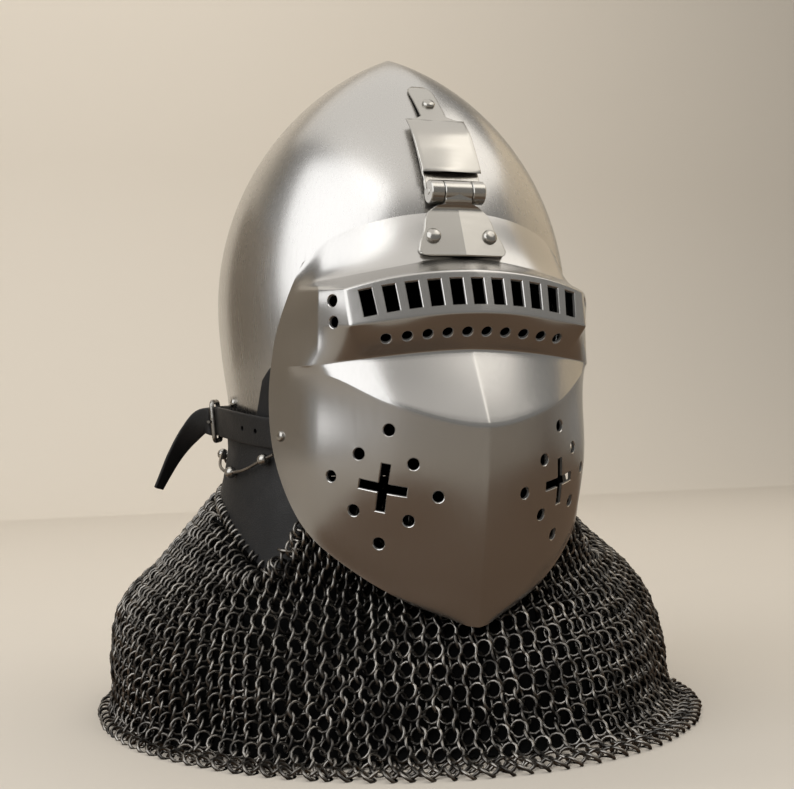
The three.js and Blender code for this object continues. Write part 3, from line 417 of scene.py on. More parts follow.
# Visor: rails down it and sections across them
visorSize = {
    "wall": 2, "chamfer": 0.4, "chamferShare": 0.9, "spacing": 3.0, "creaseGaps": [0.5, 1.1, 1.9],
    "softLine": 0.045, "softStation": 0.022, "holeClear": 0.7, "sharp": 27,
    "stationMm": [0, 66, 84, 124], # typical distance from the keel to each rail
}
# Each row: keel (forward, z), then corner, shoulder and edge (x, forward, z), lean, crease, box
visorRows = {
    "browEdge": ((107, 295), (40, 98.5, 291), (67, 84.5, 281), (81, 75.5, 268), 0.06, 0, 0),
    "shelfRoot": ((118, 268), (58, 107, 260), (77.5, 92, 257), (86, 70, 255), 0.06, 0.6, 0),
    "boxTop": ((133.5, 260), (71, 120.5, 250), (81, 104, 250), (88.5, 67, 247), 0.05, 1, 1),
    "boxBottom": ((140.5, 236.5), (70, 126, 230), (81.5, 103.5, 231), (93, 60, 228), 0.05, 1, 1),
    "boxFoot": ((126.8, 217), (62, 115.5, 212.5), (81, 103.5, 210), (95.5, 58, 211), 0.1, 1, 0),
    "muzzleRidge": ((147.8, 176), (50, 131, 189), (80.5, 102.5, 205), (97, 58, 196), 0.22, 1, 0),
    "breaths": ((144, 143), (53, 124.5, 143), (79.5, 101, 149), (94.5, 66.5, 150), 0.25, 0, 0),
    "jaw": ((139.5, 115), (52, 115.5, 113), (72.5, 99, 116), (83, 84.5, 117), 0.26, 0, 0),
    "chin": ((135.5, 95), (42, 116, 93), (55, 107, 95), (63, 101, 97), 0.28, 0, 0),
    "chinPoint": ((132, 80), (25, 122, 78), (33, 117.5, 79), (38, 114.5, 80.5), 0.3, 0, 0),
    "tip": ((129, 65.5), (3.5, 127.9, 66), (5, 127.4, 66.3), (6.5, 126.8, 66.7), 0.3, 0, 0),
}
visorRails = np.array([[place(0, *keel), *(place(*point) for point in others[:3])]
                       for keel, *others in visorRows.values()])
visorLean, visorCrease, visorBox = np.array([row[4:] for row in visorRows.values()], float).T
lineMm = lengthAlong(visorRails[:, 0])


# Slopes into and out of each point along the last but one axis: averaged where crease is 0, straight
# where it is 1.
def creasedSlopes(points, crease):
    run = np.diff(points, axis=-2)
    length = np.maximum(np.linalg.norm(run, axis=-1, keepdims=True), 1e-6)
    run = run / length
    share = length[..., :-1, :] / (length[..., :-1, :] + length[..., 1:, :])
    middle = run[..., :-1, :] * (1 - share) + run[..., 1:, :] * share
    smooth = np.concatenate([run[..., :1, :], middle, run[..., -1:, :]], axis=-2)
    before = np.concatenate([run[..., :1, :], run], axis=-2)
    after = np.concatenate([run, run[..., -1:, :]], axis=-2)
    crease = crease[..., None]
    return smooth + (before - smooth) * crease, smooth + (after - smooth) * crease


# Cubic piece between two points whose slopes are per millimetre of their distance.
def hermite(a, b, slopeA, slopeB, s):
    length = np.linalg.norm(b - a, axis=-1, keepdims=True)
    s = s[..., None]
    return ((2 * s**3 - 3 * s**2 + 1) * a + (s**3 - 2 * s**2 + s) * length * slopeA
            + (3 * s**2 - 2 * s**3) * b + (s**3 - s**2) * length * slopeB)


railCrease = np.stack([visorCrease, visorCrease, 0 * visorCrease, 0 * visorCrease])
railIn, railOut = (s.swapaxes(0, 1) for s in creasedSlopes(visorRails.swapaxes(0, 1), railCrease))


# A point at a line counted down the rows and a station counted out from the keel, negative to the right.
def bareVisor(line, station):
    i = np.clip(line.astype(int), 0, len(visorRails) - 2)
    s = line - i
    shares = np.repeat(s[:, None], visorRails.shape[1], axis=1)
    rails = hermite(visorRails[i], visorRails[i + 1], railOut[i], railIn[i + 1], shares)
    value = lambda table: table[i] + (table[i + 1] - table[i]) * s
    box = value(visorBox)
    flat = np.zeros_like(box)
    slopeIn, slopeOut = creasedSlopes(rails, np.stack([flat, box, box, flat], axis=-1))
    keelSlope = unit(np.stack([np.ones_like(box), value(visorLean), flat], axis=-1))
    slopeOut[:, 0] = keelSlope
    slopeIn[:, 1] += (slopeIn[:, 1] - keelSlope) * box[:, None]
    k = np.clip(np.abs(station).astype(int), 0, 2)
    n = np.arange(len(line))
    point = hermite(rails[n, k], rails[n, k + 1], slopeOut[n, k], slopeIn[n, k + 1], np.abs(station) - k)
    point[:, 0] *= np.where(station < 0, -1, 1)
    return point


# The same skin with its creases rounded: a weighted mean over a small patch of lines and stations.
def onVisor(line, station):
    offsets, weights = np.linspace(-1, 1, 5), np.array([1, 2, 3, 2, 1]) / 9
    total = 0
    for a, weightA in zip(offsets, weights):
        nearLine = np.clip(line + a * visorSize["softLine"], 0, len(visorRails) - 1)
        for b, weightB in zip(offsets, weights):
            nearStation = np.clip(station + b * visorSize["softStation"], -3, 3)
            total = total + weightA * weightB * bareVisor(nearLine, nearStation)
    return total


def visorSlopes(line, station):
    step = 0.02
    across = onVisor(line, station + step) - onVisor(line, station - step)
    down = onVisor(line + step, station) - onVisor(line - step, station)
    return across / (2 * step), down / (2 * step)


def visorNormal(line, station):
    margin = 0.03 # keeps the steps of the slopes on the skin
    line = np.clip(line, margin, len(visorRails) - 1 - margin)
    across, down = visorSlopes(line, np.clip(station, margin - 3, 3 - margin))
    return unit(np.cross(down, across))


# Lines and stations of an outline drawn in millimetres on the skin round one spot, found by stepping
# towards each point along the skin's own slopes.
def outlineOnVisor(line, station, x, y):
    centre = np.array([line]), np.array([station])
    across, down = visorSlopes(*centre)
    across, normal = unit(across), visorNormal(*centre)
    up = np.cross(normal, across)
    target = onVisor(*centre) + x[:, None] * across + y[:, None] * up
    at = np.full(len(x), float(line)), np.full(len(x), float(station))
    for _ in range(6):
        a, d = visorSlopes(*at)
        gap = target - onVisor(*at)
        aa, dd, ad = (a * a).sum(1), (d * d).sum(1), (a * d).sum(1)
        ga, gd = (gap * a).sum(1), (gap * d).sum(1)
        det = aa * dd - ad**2
        at = at[0] + (gd * aa - ga * ad) / det, at[1] + (ga * dd - gd * ad) / det
    return np.stack(at, axis=-1)


# The station on a line at a distance x from the middle.
def stationAt(line, x):
    stations = np.linspace(0, 3, 400)
    found = onVisor(np.full(len(stations), float(line)), stations)
    return math.copysign(np.interp(abs(x), found[:, 0], stations), x)


def circle(diameter, sides=24):
    turn = np.linspace(0, 2 * np.pi, sides, endpoint=False)
    return diameter / 2 * np.cos(turn), diameter / 2 * np.sin(turn)


# Straight outline with extra points so that it can follow the skin.
def polygon(corners, spacing=1.6):
    corners = np.asarray(corners, float)
    ahead = np.roll(corners, -1, axis=0)
    counts = np.maximum(1, np.ceil(np.linalg.norm(ahead - corners, axis=1) / spacing)).astype(int)
    runs = [np.linspace(a, b, n, endpoint=False) for a, b, n in zip(corners, ahead, counts)]
    outline = np.concatenate(runs)
    return outline[:, 0], outline[:, 1]


visorHoles = {
    "sights": {"count": 11, "pitch": 12.05, "width": 7.3, "height": 15, "line": 2.48},
    "brow": {"count": 10, "pitch": 11.3, "diameter": 6, "line": 3.5},
    "ends": {"diameter": 6.6, "lines": [2.32, 2.9], "station": 1.5},
    "breaths": {"x": 53, "line": 6, "tilt": 5, "upTilt": 2.5, "diameter": 6.7, "sides": 28,
                "across": 31.2, "up": 32, "crossSpan": 27, "crossArm": 5.2},
}


# Every punched outline, grown by a distance all round.
def visorOutlines(grow):
    outlines = []
    sights, brow, ends, breaths = visorHoles.values()
    half = np.array([sights["width"], sights["height"]]) / 2 + grow
    box = polygon(np.array([[-1, -1], [1, -1], [1, 1], [-1, 1]]) * half)
    for holes, outline in ((sights, box), (brow, circle(brow["diameter"] + 2 * grow))):
        for i in range(holes["count"]):
            x = (i - (holes["count"] - 1) / 2) * holes["pitch"]
            outlines.append(outlineOnVisor(holes["line"], stationAt(holes["line"], x), *outline))
    span, arm = breaths["crossSpan"] / 2 + grow, breaths["crossArm"] / 2 + grow
    cross = np.array([[arm, arm], [arm, span], [-arm, span], [-arm, arm], [-span, arm], [-span, -arm],
                      [-arm, -arm], [-arm, -span], [arm, -span], [arm, -arm], [span, -arm], [span, arm]])
    for side in (-1, 1):
        for line in ends["lines"]:
            eye = circle(ends["diameter"] + 2 * grow)
            outlines.append(outlineOnVisor(line, side * ends["station"], *eye))
        station = stationAt(breaths["line"], side * breaths["x"])
        tilt, upTilt = math.radians(breaths["tilt"]) * side, math.radians(breaths["upTilt"]) * side
        turn = np.array([[math.cos(tilt), math.sin(tilt)], [-math.sin(tilt), math.cos(tilt)]])
        outlines.append(outlineOnVisor(breaths["line"], station, *polygon(cross @ turn)))
        for quarter in np.arange(8) / 2: # quarters of the way round the diamond
            a = breaths["across"] * (abs((quarter + 3) % 4 - 2) - 1)
            b = breaths["up"] * (abs((quarter + 2) % 4 - 2) - 1)
            x, y = circle(breaths["diameter"] + 2 * grow, breaths["sides"])
            x = x + a * math.cos(tilt) - b * math.sin(upTilt)
            y = y + a * math.sin(tilt) + b * math.cos(upTilt)
            outlines.append(outlineOnVisor(breaths["line"], station, x, y))
    return outlines


# Even-odd test of points against one closed outline.
def inside(points, outline):
    a, b = outline, np.roll(outline, -1, axis=0)
    x, y = points[:, :1], points[:, 1:]
    crosses = (a[:, 1] > y) != (b[:, 1] > y)
    run, rise = (b - a).T
    reach = run * (y - a[:, 1]) / np.where(rise == 0, 1, rise) + a[:, 0]
    return (crosses & (x < reach)).sum(axis=1) % 2 == 1


# Even lines with closer ones beside each crease.
def spacedLines(end, creases):
    even = np.linspace(0, end, int(end / visorSize["spacing"]) + 1)
    gaps = np.array(visorSize["creaseGaps"])
    near = np.add.outer(creases, np.concatenate([-gaps, [0], gaps])).ravel()
    near = near[(near > 0) & (near < end)]
    even = even[np.abs(even[:, None] - near).min(axis=1) > 0.2 * visorSize["spacing"]]
    return np.unique(np.concatenate([even, near, [0, end]]))


stationNumber, lineNumber = np.arange(len(visorSize["stationMm"])), np.arange(len(lineMm))


# Lines and stations to millimetres along lines and rails.
def toFlat(at):
    across = np.interp(np.abs(at[:, 1]), stationNumber, visorSize["stationMm"])
    return np.stack([np.sign(at[:, 1]) * across, np.interp(at[:, 0], lineNumber, lineMm)], axis=-1)


# Grid points that stand clear of the rims of all holes.
def clearGrid(rims):
    across = spacedLines(visorSize["stationMm"][-1], visorSize["stationMm"][:3])
    across = np.concatenate([-across[:0:-1], across])
    down = spacedLines(lineMm[-1], lineMm[1:6])
    grid = np.stack(np.meshgrid(across, down), axis=-1).reshape(-1, 2)
    keep = np.ones(len(grid), bool)
    for rim in rims:
        low, high = rim.min(axis=0) - 1, rim.max(axis=0) + 1
        near = np.flatnonzero(((grid > low) & (grid < high)).all(axis=1))
        close = np.linalg.norm(grid[near, None] - rim, axis=2).min(axis=1) < visorSize["holeClear"]
        keep[near[close | inside(grid[near], rim)]] = False
    return grid[keep]


# Triangles between points whose middles lie in none of the outlines.
def trianglesRound(points, edges, outlines):
    faces = np.array(delaunay_2d_cdt(points.tolist(), edges, [], 0, 1e-6)[2])
    assert faces.max() == len(points) - 1, "the mesh of the visor added or lost points"
    middle = points[faces].mean(axis=1)
    solid = np.ones(len(faces), bool)
    for outline in outlines:
        low, high = outline.min(axis=0), outline.max(axis=0)
        near = np.flatnonzero(((middle > low) & (middle < high)).all(axis=1))
        solid[near[inside(middle[near], outline)]] = False
    return faces[solid]


# The skin is meshed flat, in millimetres along rails and lines, round the punched holes; then both faces
# of the sheet are lifted onto the surface and joined along every edge.
def makeVisor():
    outlines = [toFlat(outline) for outline in visorOutlines(0)]
    rims = [toFlat(outline) for outline in visorOutlines(visorSize["chamfer"])]
    grid = clearGrid(rims)
    loops = rims + outlines
    starts = np.cumsum([len(grid)] + [len(loop) for loop in loops])
    edges = [(start + k, start + (k + 1) % len(o)) for start, o in zip(starts, loops) for k in range(len(o))]
    points = np.concatenate([grid, *loops])
    faces = trianglesRound(points, edges, outlines)
    station = np.sign(points[:, 0]) * np.interp(np.abs(points[:, 0]), visorSize["stationMm"], stationNumber)
    line = np.interp(points[:, 1], lineMm, lineNumber)
    skin = onVisor(line, station)
    normal = visorNormal(line, station)
    count = len(skin)
    sunk = (np.arange(count) >= starts[len(rims)]) * visorSize["chamfer"] * visorSize["chamferShare"]
    skin = skin - sunk[:, None] * normal
    a, b, c = skin[faces[:, 0]], skin[faces[:, 1]], skin[faces[:, 2]]
    wrong = (np.cross(b - a, c - a) * normal[faces[:, 0]]).sum(axis=1) < 0
    faces[wrong] = faces[wrong][:, ::-1]
    sides = np.concatenate([faces[:, [0, 1]], faces[:, [1, 2]], faces[:, [2, 0]]])
    keys = np.sort(sides, axis=1) @ np.array([count, 1])
    _, first, uses = np.unique(keys, return_index=True, return_counts=True)
    rim = sides[first[uses == 1]]
    walls = np.stack([rim[:, 1], rim[:, 0], rim[:, 0] + count, rim[:, 1] + count], axis=-1)
    back = skin - (visorSize["wall"] - sunk)[:, None] * normal
    sheet = np.concatenate([faces, faces[:, ::-1] + count])
    mesh = makeMesh("visor_shell", np.concatenate([skin, back]), sheet, walls, sharp=visorSize["sharp"])
    return markInside(mesh, np.arange(2 * count) >= count)


addPiece("visor_shell", makeVisor(), "visor", visorSteel, ["visor"])
print("visor made")


# Hinge: a leaf and its cover on the skull, a leaf on the visor, knuckles and a pin
hinge = {
    "forward": 105.6, "z": 306, "barrel": 13.2, "length": 32.5, "knuckle": 16.4, "gap": 0.35,
    "rootZ": 308, "pin": 4, "pinHead": 0.3,
}
skullLeaf = {
    "wall": 2.2, "lift": 0.6, "stand": 3.6, "fall": 25, "seat": 3, "width": 34, "topZ": 351, "shoulder": 3,
    "tongue": 15.5, "tongueTopZ": 377, "tip": 5, "tipRound": 0.75, "bend": 0.05, "lugTop": 3,
}
leafCover = {
    "wall": 2, "width": 36, "bottomZ": 318, "freeZ": 333, "rootZ": 341, "topZ": 352,
    "lift": 0.5, "bow": 1.7, "bend": 0.08, "soft": 9, "proud": 0.15,
}
visorLeaf = {
    "wall": 2.4, "lift": 0.5, "topZ": 300, "bottomZ": 269, "bend": 0.14,
    "neckDown": 5, "neckRun": 6, "neckForward": 0.8, "neckWall": 3.2, "sharp": 11,
    "share": [0, 0.03, 0.07, 0.12, 0.55, 0.8, 0.93, 0.985, 1],
    "half": [8.2, 8.5, 12.8, 15.1, 21.8, 25.3, 25.5, 23.2, 20.5],
}


def skullFront(z):
    return skullSize["front"] * skullShare(z)


def visorFront(z):
    (topForward, topZ), (rootForward, rootZ) = visorRows["browEdge"][0], visorRows["shelfRoot"][0]
    return rootForward + (topForward - rootForward) * (np.asarray(z) - rootZ) / (topZ - rootZ)


# The skull's leaf stands off the skull below its tongue.
def leafBack(z):
    down = np.clip((skullLeaf["tongueTopZ"] - skullLeaf["seat"] - z) / skullLeaf["fall"], 0, 1)
    return skullFront(z) + skullLeaf["lift"] + skullLeaf["stand"] * down


# Plate carried up its levels z: flat sections with round edges, this far forward at each level and bent back
# a little beside the middle. thicken adds to its wall at each level, bow pushes its middle out, shift moves
# it sideways, soft rounds the bend.
def plate(z, half, forward, wall, bend, thicken=0, bow=0, shift=0, soft=0, edge=0.6, endShare=0.55):
    side, depth = slab(half, wall, edge, 17)
    thin = np.ones(len(z))
    thin[[0, -1]] = endShare
    depth = wall / 2 + (depth - wall / 2) * thin[:, None]
    depth = depth * (1 + np.broadcast_to(thicken, len(z))[:, None] / wall)
    arch = np.broadcast_to(bow, len(z))[:, None] * (1 - (side / half[:, None]) ** 2)
    side = side + shift
    back = (np.hypot(side, soft) - soft) * bend
    return loft(place(side, forward[:, None] + depth + arch - back, z[:, None]))


# Round bar on the hinge's axis with chamfered ends.
def barrel(start, end, diameter, chamfer=0.5):
    r = diameter / 2
    x = np.array([start, start + chamfer, end - chamfer, end])
    profile = np.stack([[r - chamfer, r, r, r - chamfer], x], axis=-1)
    return turned(profile, place(0, hinge["forward"], hinge["z"]), [1, 0, 0], 48)


def levels(*stops):
    return np.unique(np.concatenate([np.linspace(*stop) for stop in stops]))


# The skull's leaf ends above the middle knuckle; a lug on each side goes down to the outer ones.
def makeSkullLeaf():
    bottom = hinge["z"] + hinge["barrel"] / 2 + hinge["gap"]
    topZ, wall, bend = skullLeaf["topZ"], skullLeaf["wall"], skullLeaf["bend"]
    z = levels((bottom, bottom + 0.5, 2), (bottom + 0.5, topZ, 16), (topZ, skullLeaf["tongueTopZ"], 16))
    narrow = np.clip((z - topZ) / skullLeaf["shoulder"], 0, 1)
    half = skullLeaf["width"] / 2 + (skullLeaf["tongue"] - skullLeaf["width"]) / 2 * narrow
    tip = np.clip((z - skullLeaf["tongueTopZ"]) / skullLeaf["tip"] + 1, 0, 1)
    half = half * np.sqrt(1 - skullLeaf["tipRound"] * tip**2)
    bodies = [plate(z, half, leafBack(z), wall, bend)]
    inner, outer = hinge["knuckle"] / 2 + hinge["gap"], hinge["length"] / 2
    lugZ = np.linspace(hinge["rootZ"], bottom + skullLeaf["lugTop"], 5)
    lugHalf = np.full(len(lugZ), (skullLeaf["width"] / 2 - inner) / 2)
    for side in (-1, 1):
        lugMiddle = side * (skullLeaf["width"] / 2 + inner) / 2
        bodies.append(plate(lugZ, lugHalf, leafBack(lugZ), wall, bend, shift=lugMiddle))
    return [*bodies, barrel(-outer, -inner, hinge["barrel"]), barrel(inner, outer, hinge["barrel"])]


# The cover's upper end sinks into the leaf, so that both look like one folded sheet.
def makeLeafCover():
    z = np.linspace(leafCover["bottomZ"], leafCover["topZ"], 24)
    seat = skullLeaf["wall"] + hinge["gap"]
    free = np.clip((leafCover["freeZ"] - z) / (leafCover["freeZ"] - leafCover["bottomZ"]), 0, 1)
    sink = smoothStep((z - leafCover["rootZ"]) / (leafCover["topZ"] - leafCover["rootZ"]))
    sink = sink * (hinge["gap"] + leafCover["wall"] - leafCover["proud"])
    forward = leafBack(z) + seat + leafCover["lift"] * free**1.5 - sink
    return [plate(z, np.full(len(z), leafCover["width"] / 2), forward, leafCover["wall"], leafCover["bend"],
                  bow=leafCover["bow"] * free, soft=leafCover["soft"])]


# The visor's leaf is one plate: thick and narrow where it rolls round the pin, thin and wide on the visor.
def makeVisorLeaf():
    z = levels((visorLeaf["bottomZ"], visorLeaf["topZ"], 44), (visorLeaf["topZ"], hinge["rootZ"], 8))
    share = np.clip((visorLeaf["topZ"] - z) / (visorLeaf["topZ"] - visorLeaf["bottomZ"]), 0, 1)
    half = smoothTable(share, visorLeaf["share"], visorLeaf["half"])
    neck = smoothStep((z - visorLeaf["topZ"] + visorLeaf["neckDown"]) / visorLeaf["neckRun"])
    onSheet = visorFront(z) + visorLeaf["lift"]
    forward = onSheet + (hinge["forward"] + visorLeaf["neckForward"] - onSheet) * neck
    body = plate(z, half, forward, visorLeaf["wall"], visorLeaf["bend"], thicken=visorLeaf["neckWall"] * neck)
    return [body, barrel(-hinge["knuckle"] / 2, hinge["knuckle"] / 2, hinge["barrel"])]


def makePin():
    reach = hinge["length"] / 2 + hinge["pinHead"]
    return [barrel(-reach, reach, hinge["pin"])]


for name, bodies, body, node, sharp in (
    ("hinge_skull_leaf", makeSkullLeaf(), "helm", "skull_leaf", 40),
    ("hinge_cover", makeLeafCover(), "helm", "leaf_cover", 40),
    ("hinge_visor_leaf", makeVisorLeaf(), "visor", "visor_leaf", visorLeaf["sharp"]),
    ("hinge_pin_rod", makePin(), "helm", "hinge_pin", 40),
):
    addBodies(name, bodies, body, hingeSteel, [node], sharp)
print("hinge made")


# Leather band: on the skull's lower edge, flaring out below it
band = {
    "wall": 2.2, "gap": 0.35, "frontAngle": 48, "closeAngle": 76,
    "flareZ": [85, 120, 138, 148, 156, 162], "flareOut": [13, 8, 4.5, 2.2, 0.9, 0],
    "topAngle": [48, 58, 62, 65.6, 67.6, 70.2, 75, 180], "topZ": [214, 214, 209, 203, 195, 184, 177.5, 176],
    "bottomAngle": [48, 53.5, 62, 78.75, 90, 112.5, 180], "bottomZ": [124, 85, 95, 112.5, 122.5, 133, 136],
    "edge": 0.7, "sway": 0.35, "swayIn": 0.2, "swayTurns": 9, "swayZ": 21, "swayTop": 178, "swayRun": 60,
}


def fromFront(angle):
    return np.abs((np.asarray(angle) + 180) % 360 - 180)


def bandBottom(angle):
    return np.interp(fromFront(angle), band["bottomAngle"], band["bottomZ"])


# The neck's inside, drawn in under the chin by a cosine bump.
def onNeck(angle, z, lift):
    z = np.asarray(z, float)
    point = onSkull(angle, np.maximum(z, skullSize["rimZ"]),
                    band["gap"] + np.interp(z, band["flareZ"], band["flareOut"]) + lift)
    away = np.minimum(fromFront(angle), band["frontAngle"]) * 90 / band["frontAngle"]
    point[..., 1] += mail["tuck"] * np.cos(np.radians(away)) ** 2
    point[..., 2] = z
    return point


mail = {
    "tuck": 13, "wall": 4, "bibZ": 134, "bibRun": 2, "shadeInset": 5, "shadeWall": 1,
    "ring": 11.2, "wire": 1.9, "ringSides": 12, "wireSides": 6,
    "rows": 36, "aroundCount": 112, "firstRow": 3.5, "rowPitch": 5.9,
    "topClear": 4.5, "tipClear": 3.5, "tipSpread": 7,
    "edgePitch": 5.5, "edgeRing": 9.2, "edgeUp": 1, "edgeLean": 0.25,
    # each ring's own wander: share of the pitch, millimetres up and radians of lean
    "wander": [0.05, 0.35, 0.08],
    # rings lean until they span this much of the row, between these cosines
    "leanPitch": 13, "leanLeast": 0.86, "leanMost": 0.2,
    # outer outlines down the curtain: z, half width, front, back, share of the folds, blend to lower folds
    "levels": [(92, 141, 101, 162, 0.7, 0), (66, 164, 121, 186, 1, 0.1), (38, 172, 139, 190, 1, 0.7),
               (11, 174, 153, 193, 1, 1), (4, 178, 163, 198, 0.7, 1), (4, 185, 190, 210, 0, 1)],
    # folds: angle, spread, depth high up, depth at the foot
    "folds": [(-112, 30, 8, 3), (-55, 9, -4, -6), (-32, 12, 0, 5), (-4, 9, 0, -3), (22, 12, 0, 4),
              (54, 9, -4, -5), (92, 14, -2, -4), (124, 14, 5, 3), (150, 10, -4, -5), (178, 13, 3, 3),
              (-152, 10, -5, -5)],
}


# Flat sections from the lower to the upper edge, carried round the neck and swaying a little in and out. They
# stand closer at the front, where both edges change height.
def makeBand():
    front, close = band["frontAngle"], band["closeAngle"]
    angle = levels((front, close, 60), (close, 360 - close, 130), (360 - close, 360 - front, 60))
    top = np.interp(fromFront(angle), band["topAngle"], band["topZ"])
    bottom = bandBottom(angle)
    side, depth = slab((top - bottom) / 2, band["wall"], band["edge"], 26)
    z = (top + bottom)[:, None] / 2 + side
    wave = np.sin(np.radians(angle)[:, None] * band["swayTurns"] + z / band["swayZ"])
    sway = band["sway"] * wave * np.clip((band["swayTop"] - z) / band["swayRun"], 0, 1)
    depth = depth + np.maximum(sway, -band["swayIn"])
    return loft(onNeck(np.broadcast_to(angle[:, None], z.shape), z, depth))


addBodies("neck_band", [makeBand()], "helm", bandLeather, ["leather_band"])
print("band made")


# Studs on the band and the wire through them
studs = {"angles": [65, 84, 114, 131, 147.5, 164, 180], "diameter": 7, "highZ": 157, "lowZ": 148.5,
         "stem": 4.2, "stemTop": 2.2, "wire": 1.9, "endAngle": 60.5, "endZ": 160, "sag": 2.2}
studAngle = np.array(studs["angles"] + [360 - angle for angle in studs["angles"][-2::-1]], float)
studNumber = np.arange(len(studAngle))
studZ = np.where(studNumber % 2, studs["lowZ"], studs["highZ"])
studLift = band["wall"] + band["gap"] + studs["diameter"] / 2
studSpot = onNeck(studAngle, studZ, studLift)
studFoot = onNeck(studAngle, studZ, band["wall"])

tipRadius = 0.02 # turned profiles stop just short of their axis


# Profiles of the ball and the stem under it.
def studProfiles():
    t = np.linspace(-np.pi / 2, np.pi / 2, 16)
    ball = studs["diameter"] / 2 * np.stack([np.cos(t), np.sin(t)], axis=-1)
    ball[:, 0] = np.maximum(ball[:, 0], tipRadius)
    stem = [[studs["stem"] / 2, band["wall"] - studLift], [studs["stem"] / 2, -studs["stemTop"]]]
    return ball, stem


ball, stem = studProfiles()
for number in studNumber:
    out = unit(studSpot[number] - studFoot[number])
    bodies = [turned(ball, studSpot[number], out, 24), turned(stem, studSpot[number], out, 16)]
    label = f"{number + 1:02d}"
    addBodies(f"stud_{label}", bodies, "helm", rivetSteel, [f"vervelle_{label}"])

wireEnds = onNeck(np.array([studs["endAngle"], 360 - studs["endAngle"]]), np.full(2, studs["endZ"]), studLift)
middle = onNeck((studAngle[:-1] + studAngle[1:]) / 2, (studZ[:-1] + studZ[1:]) / 2 - studs["sag"], studLift)
route = np.stack([studSpot[:-1], middle], axis=1).reshape(-1, 3)
wirePath = smoothPath(np.concatenate([wireEnds[:1], route, studSpot[-1:], wireEnds[1:]]), 320)
wireBody = tube(wirePath, studs["wire"], 10)
addBodies("stud_wire", [wireBody], "helm", wireSteel, ["vervelle_wire"])
print("studs and wire made")


# Strap and buckle
strap = {
    "width": 18, "wall": 2.4, "ease": 0.4, "edge": 0.8, "hole": 3, "holeAngles": [69, 76],
    "frontAngle": 51, "buckleAngle": 102, "clear": 9, "lowZ": 171.4, "rise": 7.6, "lift": 3.5,
    "tail": [(-112.5, -43, 178.6), (-120.5, -50, 170), (-129.5, -56, 156), (-134, -59, 146.5),
             (-138.5, -62, 136.5)],
    "lean": 58, "tailShare": 0.38, "heelRun": 4,
}
buckle = {
    "height": 27, "length": 15, "wire": 3, "corner": 3, "eyeWall": 1.5, "tongue": 2.2, "overhang": 3,
    "tongueEye": 4.8, "tongueEyeWall": 1.2,
}
strapLift = 2 * band["gap"] + band["wall"] + strap["ease"]


def strapZ(angle):
    back = (fromFront(angle) - strap["frontAngle"]) / (strap["buckleAngle"] - strap["frontAngle"])
    return strap["lowZ"] + strap["rise"] * smoothStep(back)


# Middle, width direction and outward direction of the strap where it lies on the helm.
def strapStation(angle):
    angle = np.asarray(angle, float)
    z = strapZ(angle)
    along = unit(onSkull(angle + 1, z, strapLift) - onSkull(angle - 1, z, strapLift))
    across = unit(onSkull(angle, z + strap["width"] / 2) - onSkull(angle, z - strap["width"] / 2))
    return onSkull(angle, z, strapLift), across, unit(np.cross(along, across))


# Ribbon of flat sections with round edges along a path.
def ribbon(middle, across, out, half):
    side, depth = slab(half, strap["wall"], strap["edge"], 9)
    return loft(middle[:, None] + side[..., None] * across[:, None] + depth[..., None] * out[:, None])


buckleMiddle, buckleUp, buckleOut = strapStation(-strap["buckleAngle"])
buckleAlong = np.cross(buckleUp, buckleOut)


# A spot in the buckle's own directions: along towards the face, up, and out from the helm.
def onBuckle(along, up, out):
    steps = np.stack(np.broadcast_arrays(along, up, out), axis=-1)
    return buckleMiddle + steps @ np.stack([buckleAlong, buckleUp, buckleOut])


eye = buckle["wire"] + 2 * band["gap"] + 2 * buckle["eyeWall"]
heelAlong, heelOut = -buckle["length"] / 2, eye / 2
restAlong, restOut = buckle["length"] / 2, strap["lift"] + strap["wall"] + band["gap"] + buckle["wire"] / 2


# The strap lies on the helm, climbs over the buckle's heel and leaves as a twisting tail.
def makeStrapFront():
    angle = -np.linspace(strap["frontAngle"], strap["buckleAngle"] - strap["clear"], 24)
    middle, across, out = strapStation(angle)
    middle = middle + strap["lift"] * np.linspace(0, 1, len(angle))[:, None] ** 2.5 * out
    flat = buckle["wire"] / 2
    over = eye + band["gap"]
    climb = onBuckle([restAlong + flat, restAlong - flat, heelAlong + flat, heelAlong - flat], 0,
                     [strap["lift"], strap["lift"], over, over])
    tail = place(*np.array(strap["tail"], float).T)
    path = np.concatenate([middle, smoothPath(climb, 14)])
    tailPath = smoothPath(np.concatenate([climb[-1:], tail]), 40)[1:]
    s = np.linspace(0, 1, len(tailPath) + 1)[1:]
    run = unit(np.gradient(np.concatenate([climb[-2:], tailPath]), axis=0))[2:]
    sideways = unit(np.cross([0, 0, 1.0], run))
    lean = np.radians(strap["lean"] * np.sin(s * np.pi / 2))[:, None]
    upright = np.cross(run, sideways)
    tailAcross = upright * np.cos(lean) + sideways * np.sin(lean)
    tailOut = unit(np.cross(-run, tailAcross))
    count = len(path) - len(middle)
    across = np.concatenate([across, np.repeat(buckleUp[None], count, 0), tailAcross])
    out = np.concatenate([out, np.repeat(buckleOut[None], count, 0), tailOut])
    width = strap["width"] / 2 * (1 - (1 - strap["tailShare"]) * s**0.8)
    half = np.concatenate([np.full(len(path), strap["width"] / 2), width])
    return ribbon(np.concatenate([path, tailPath]), across, out, half)


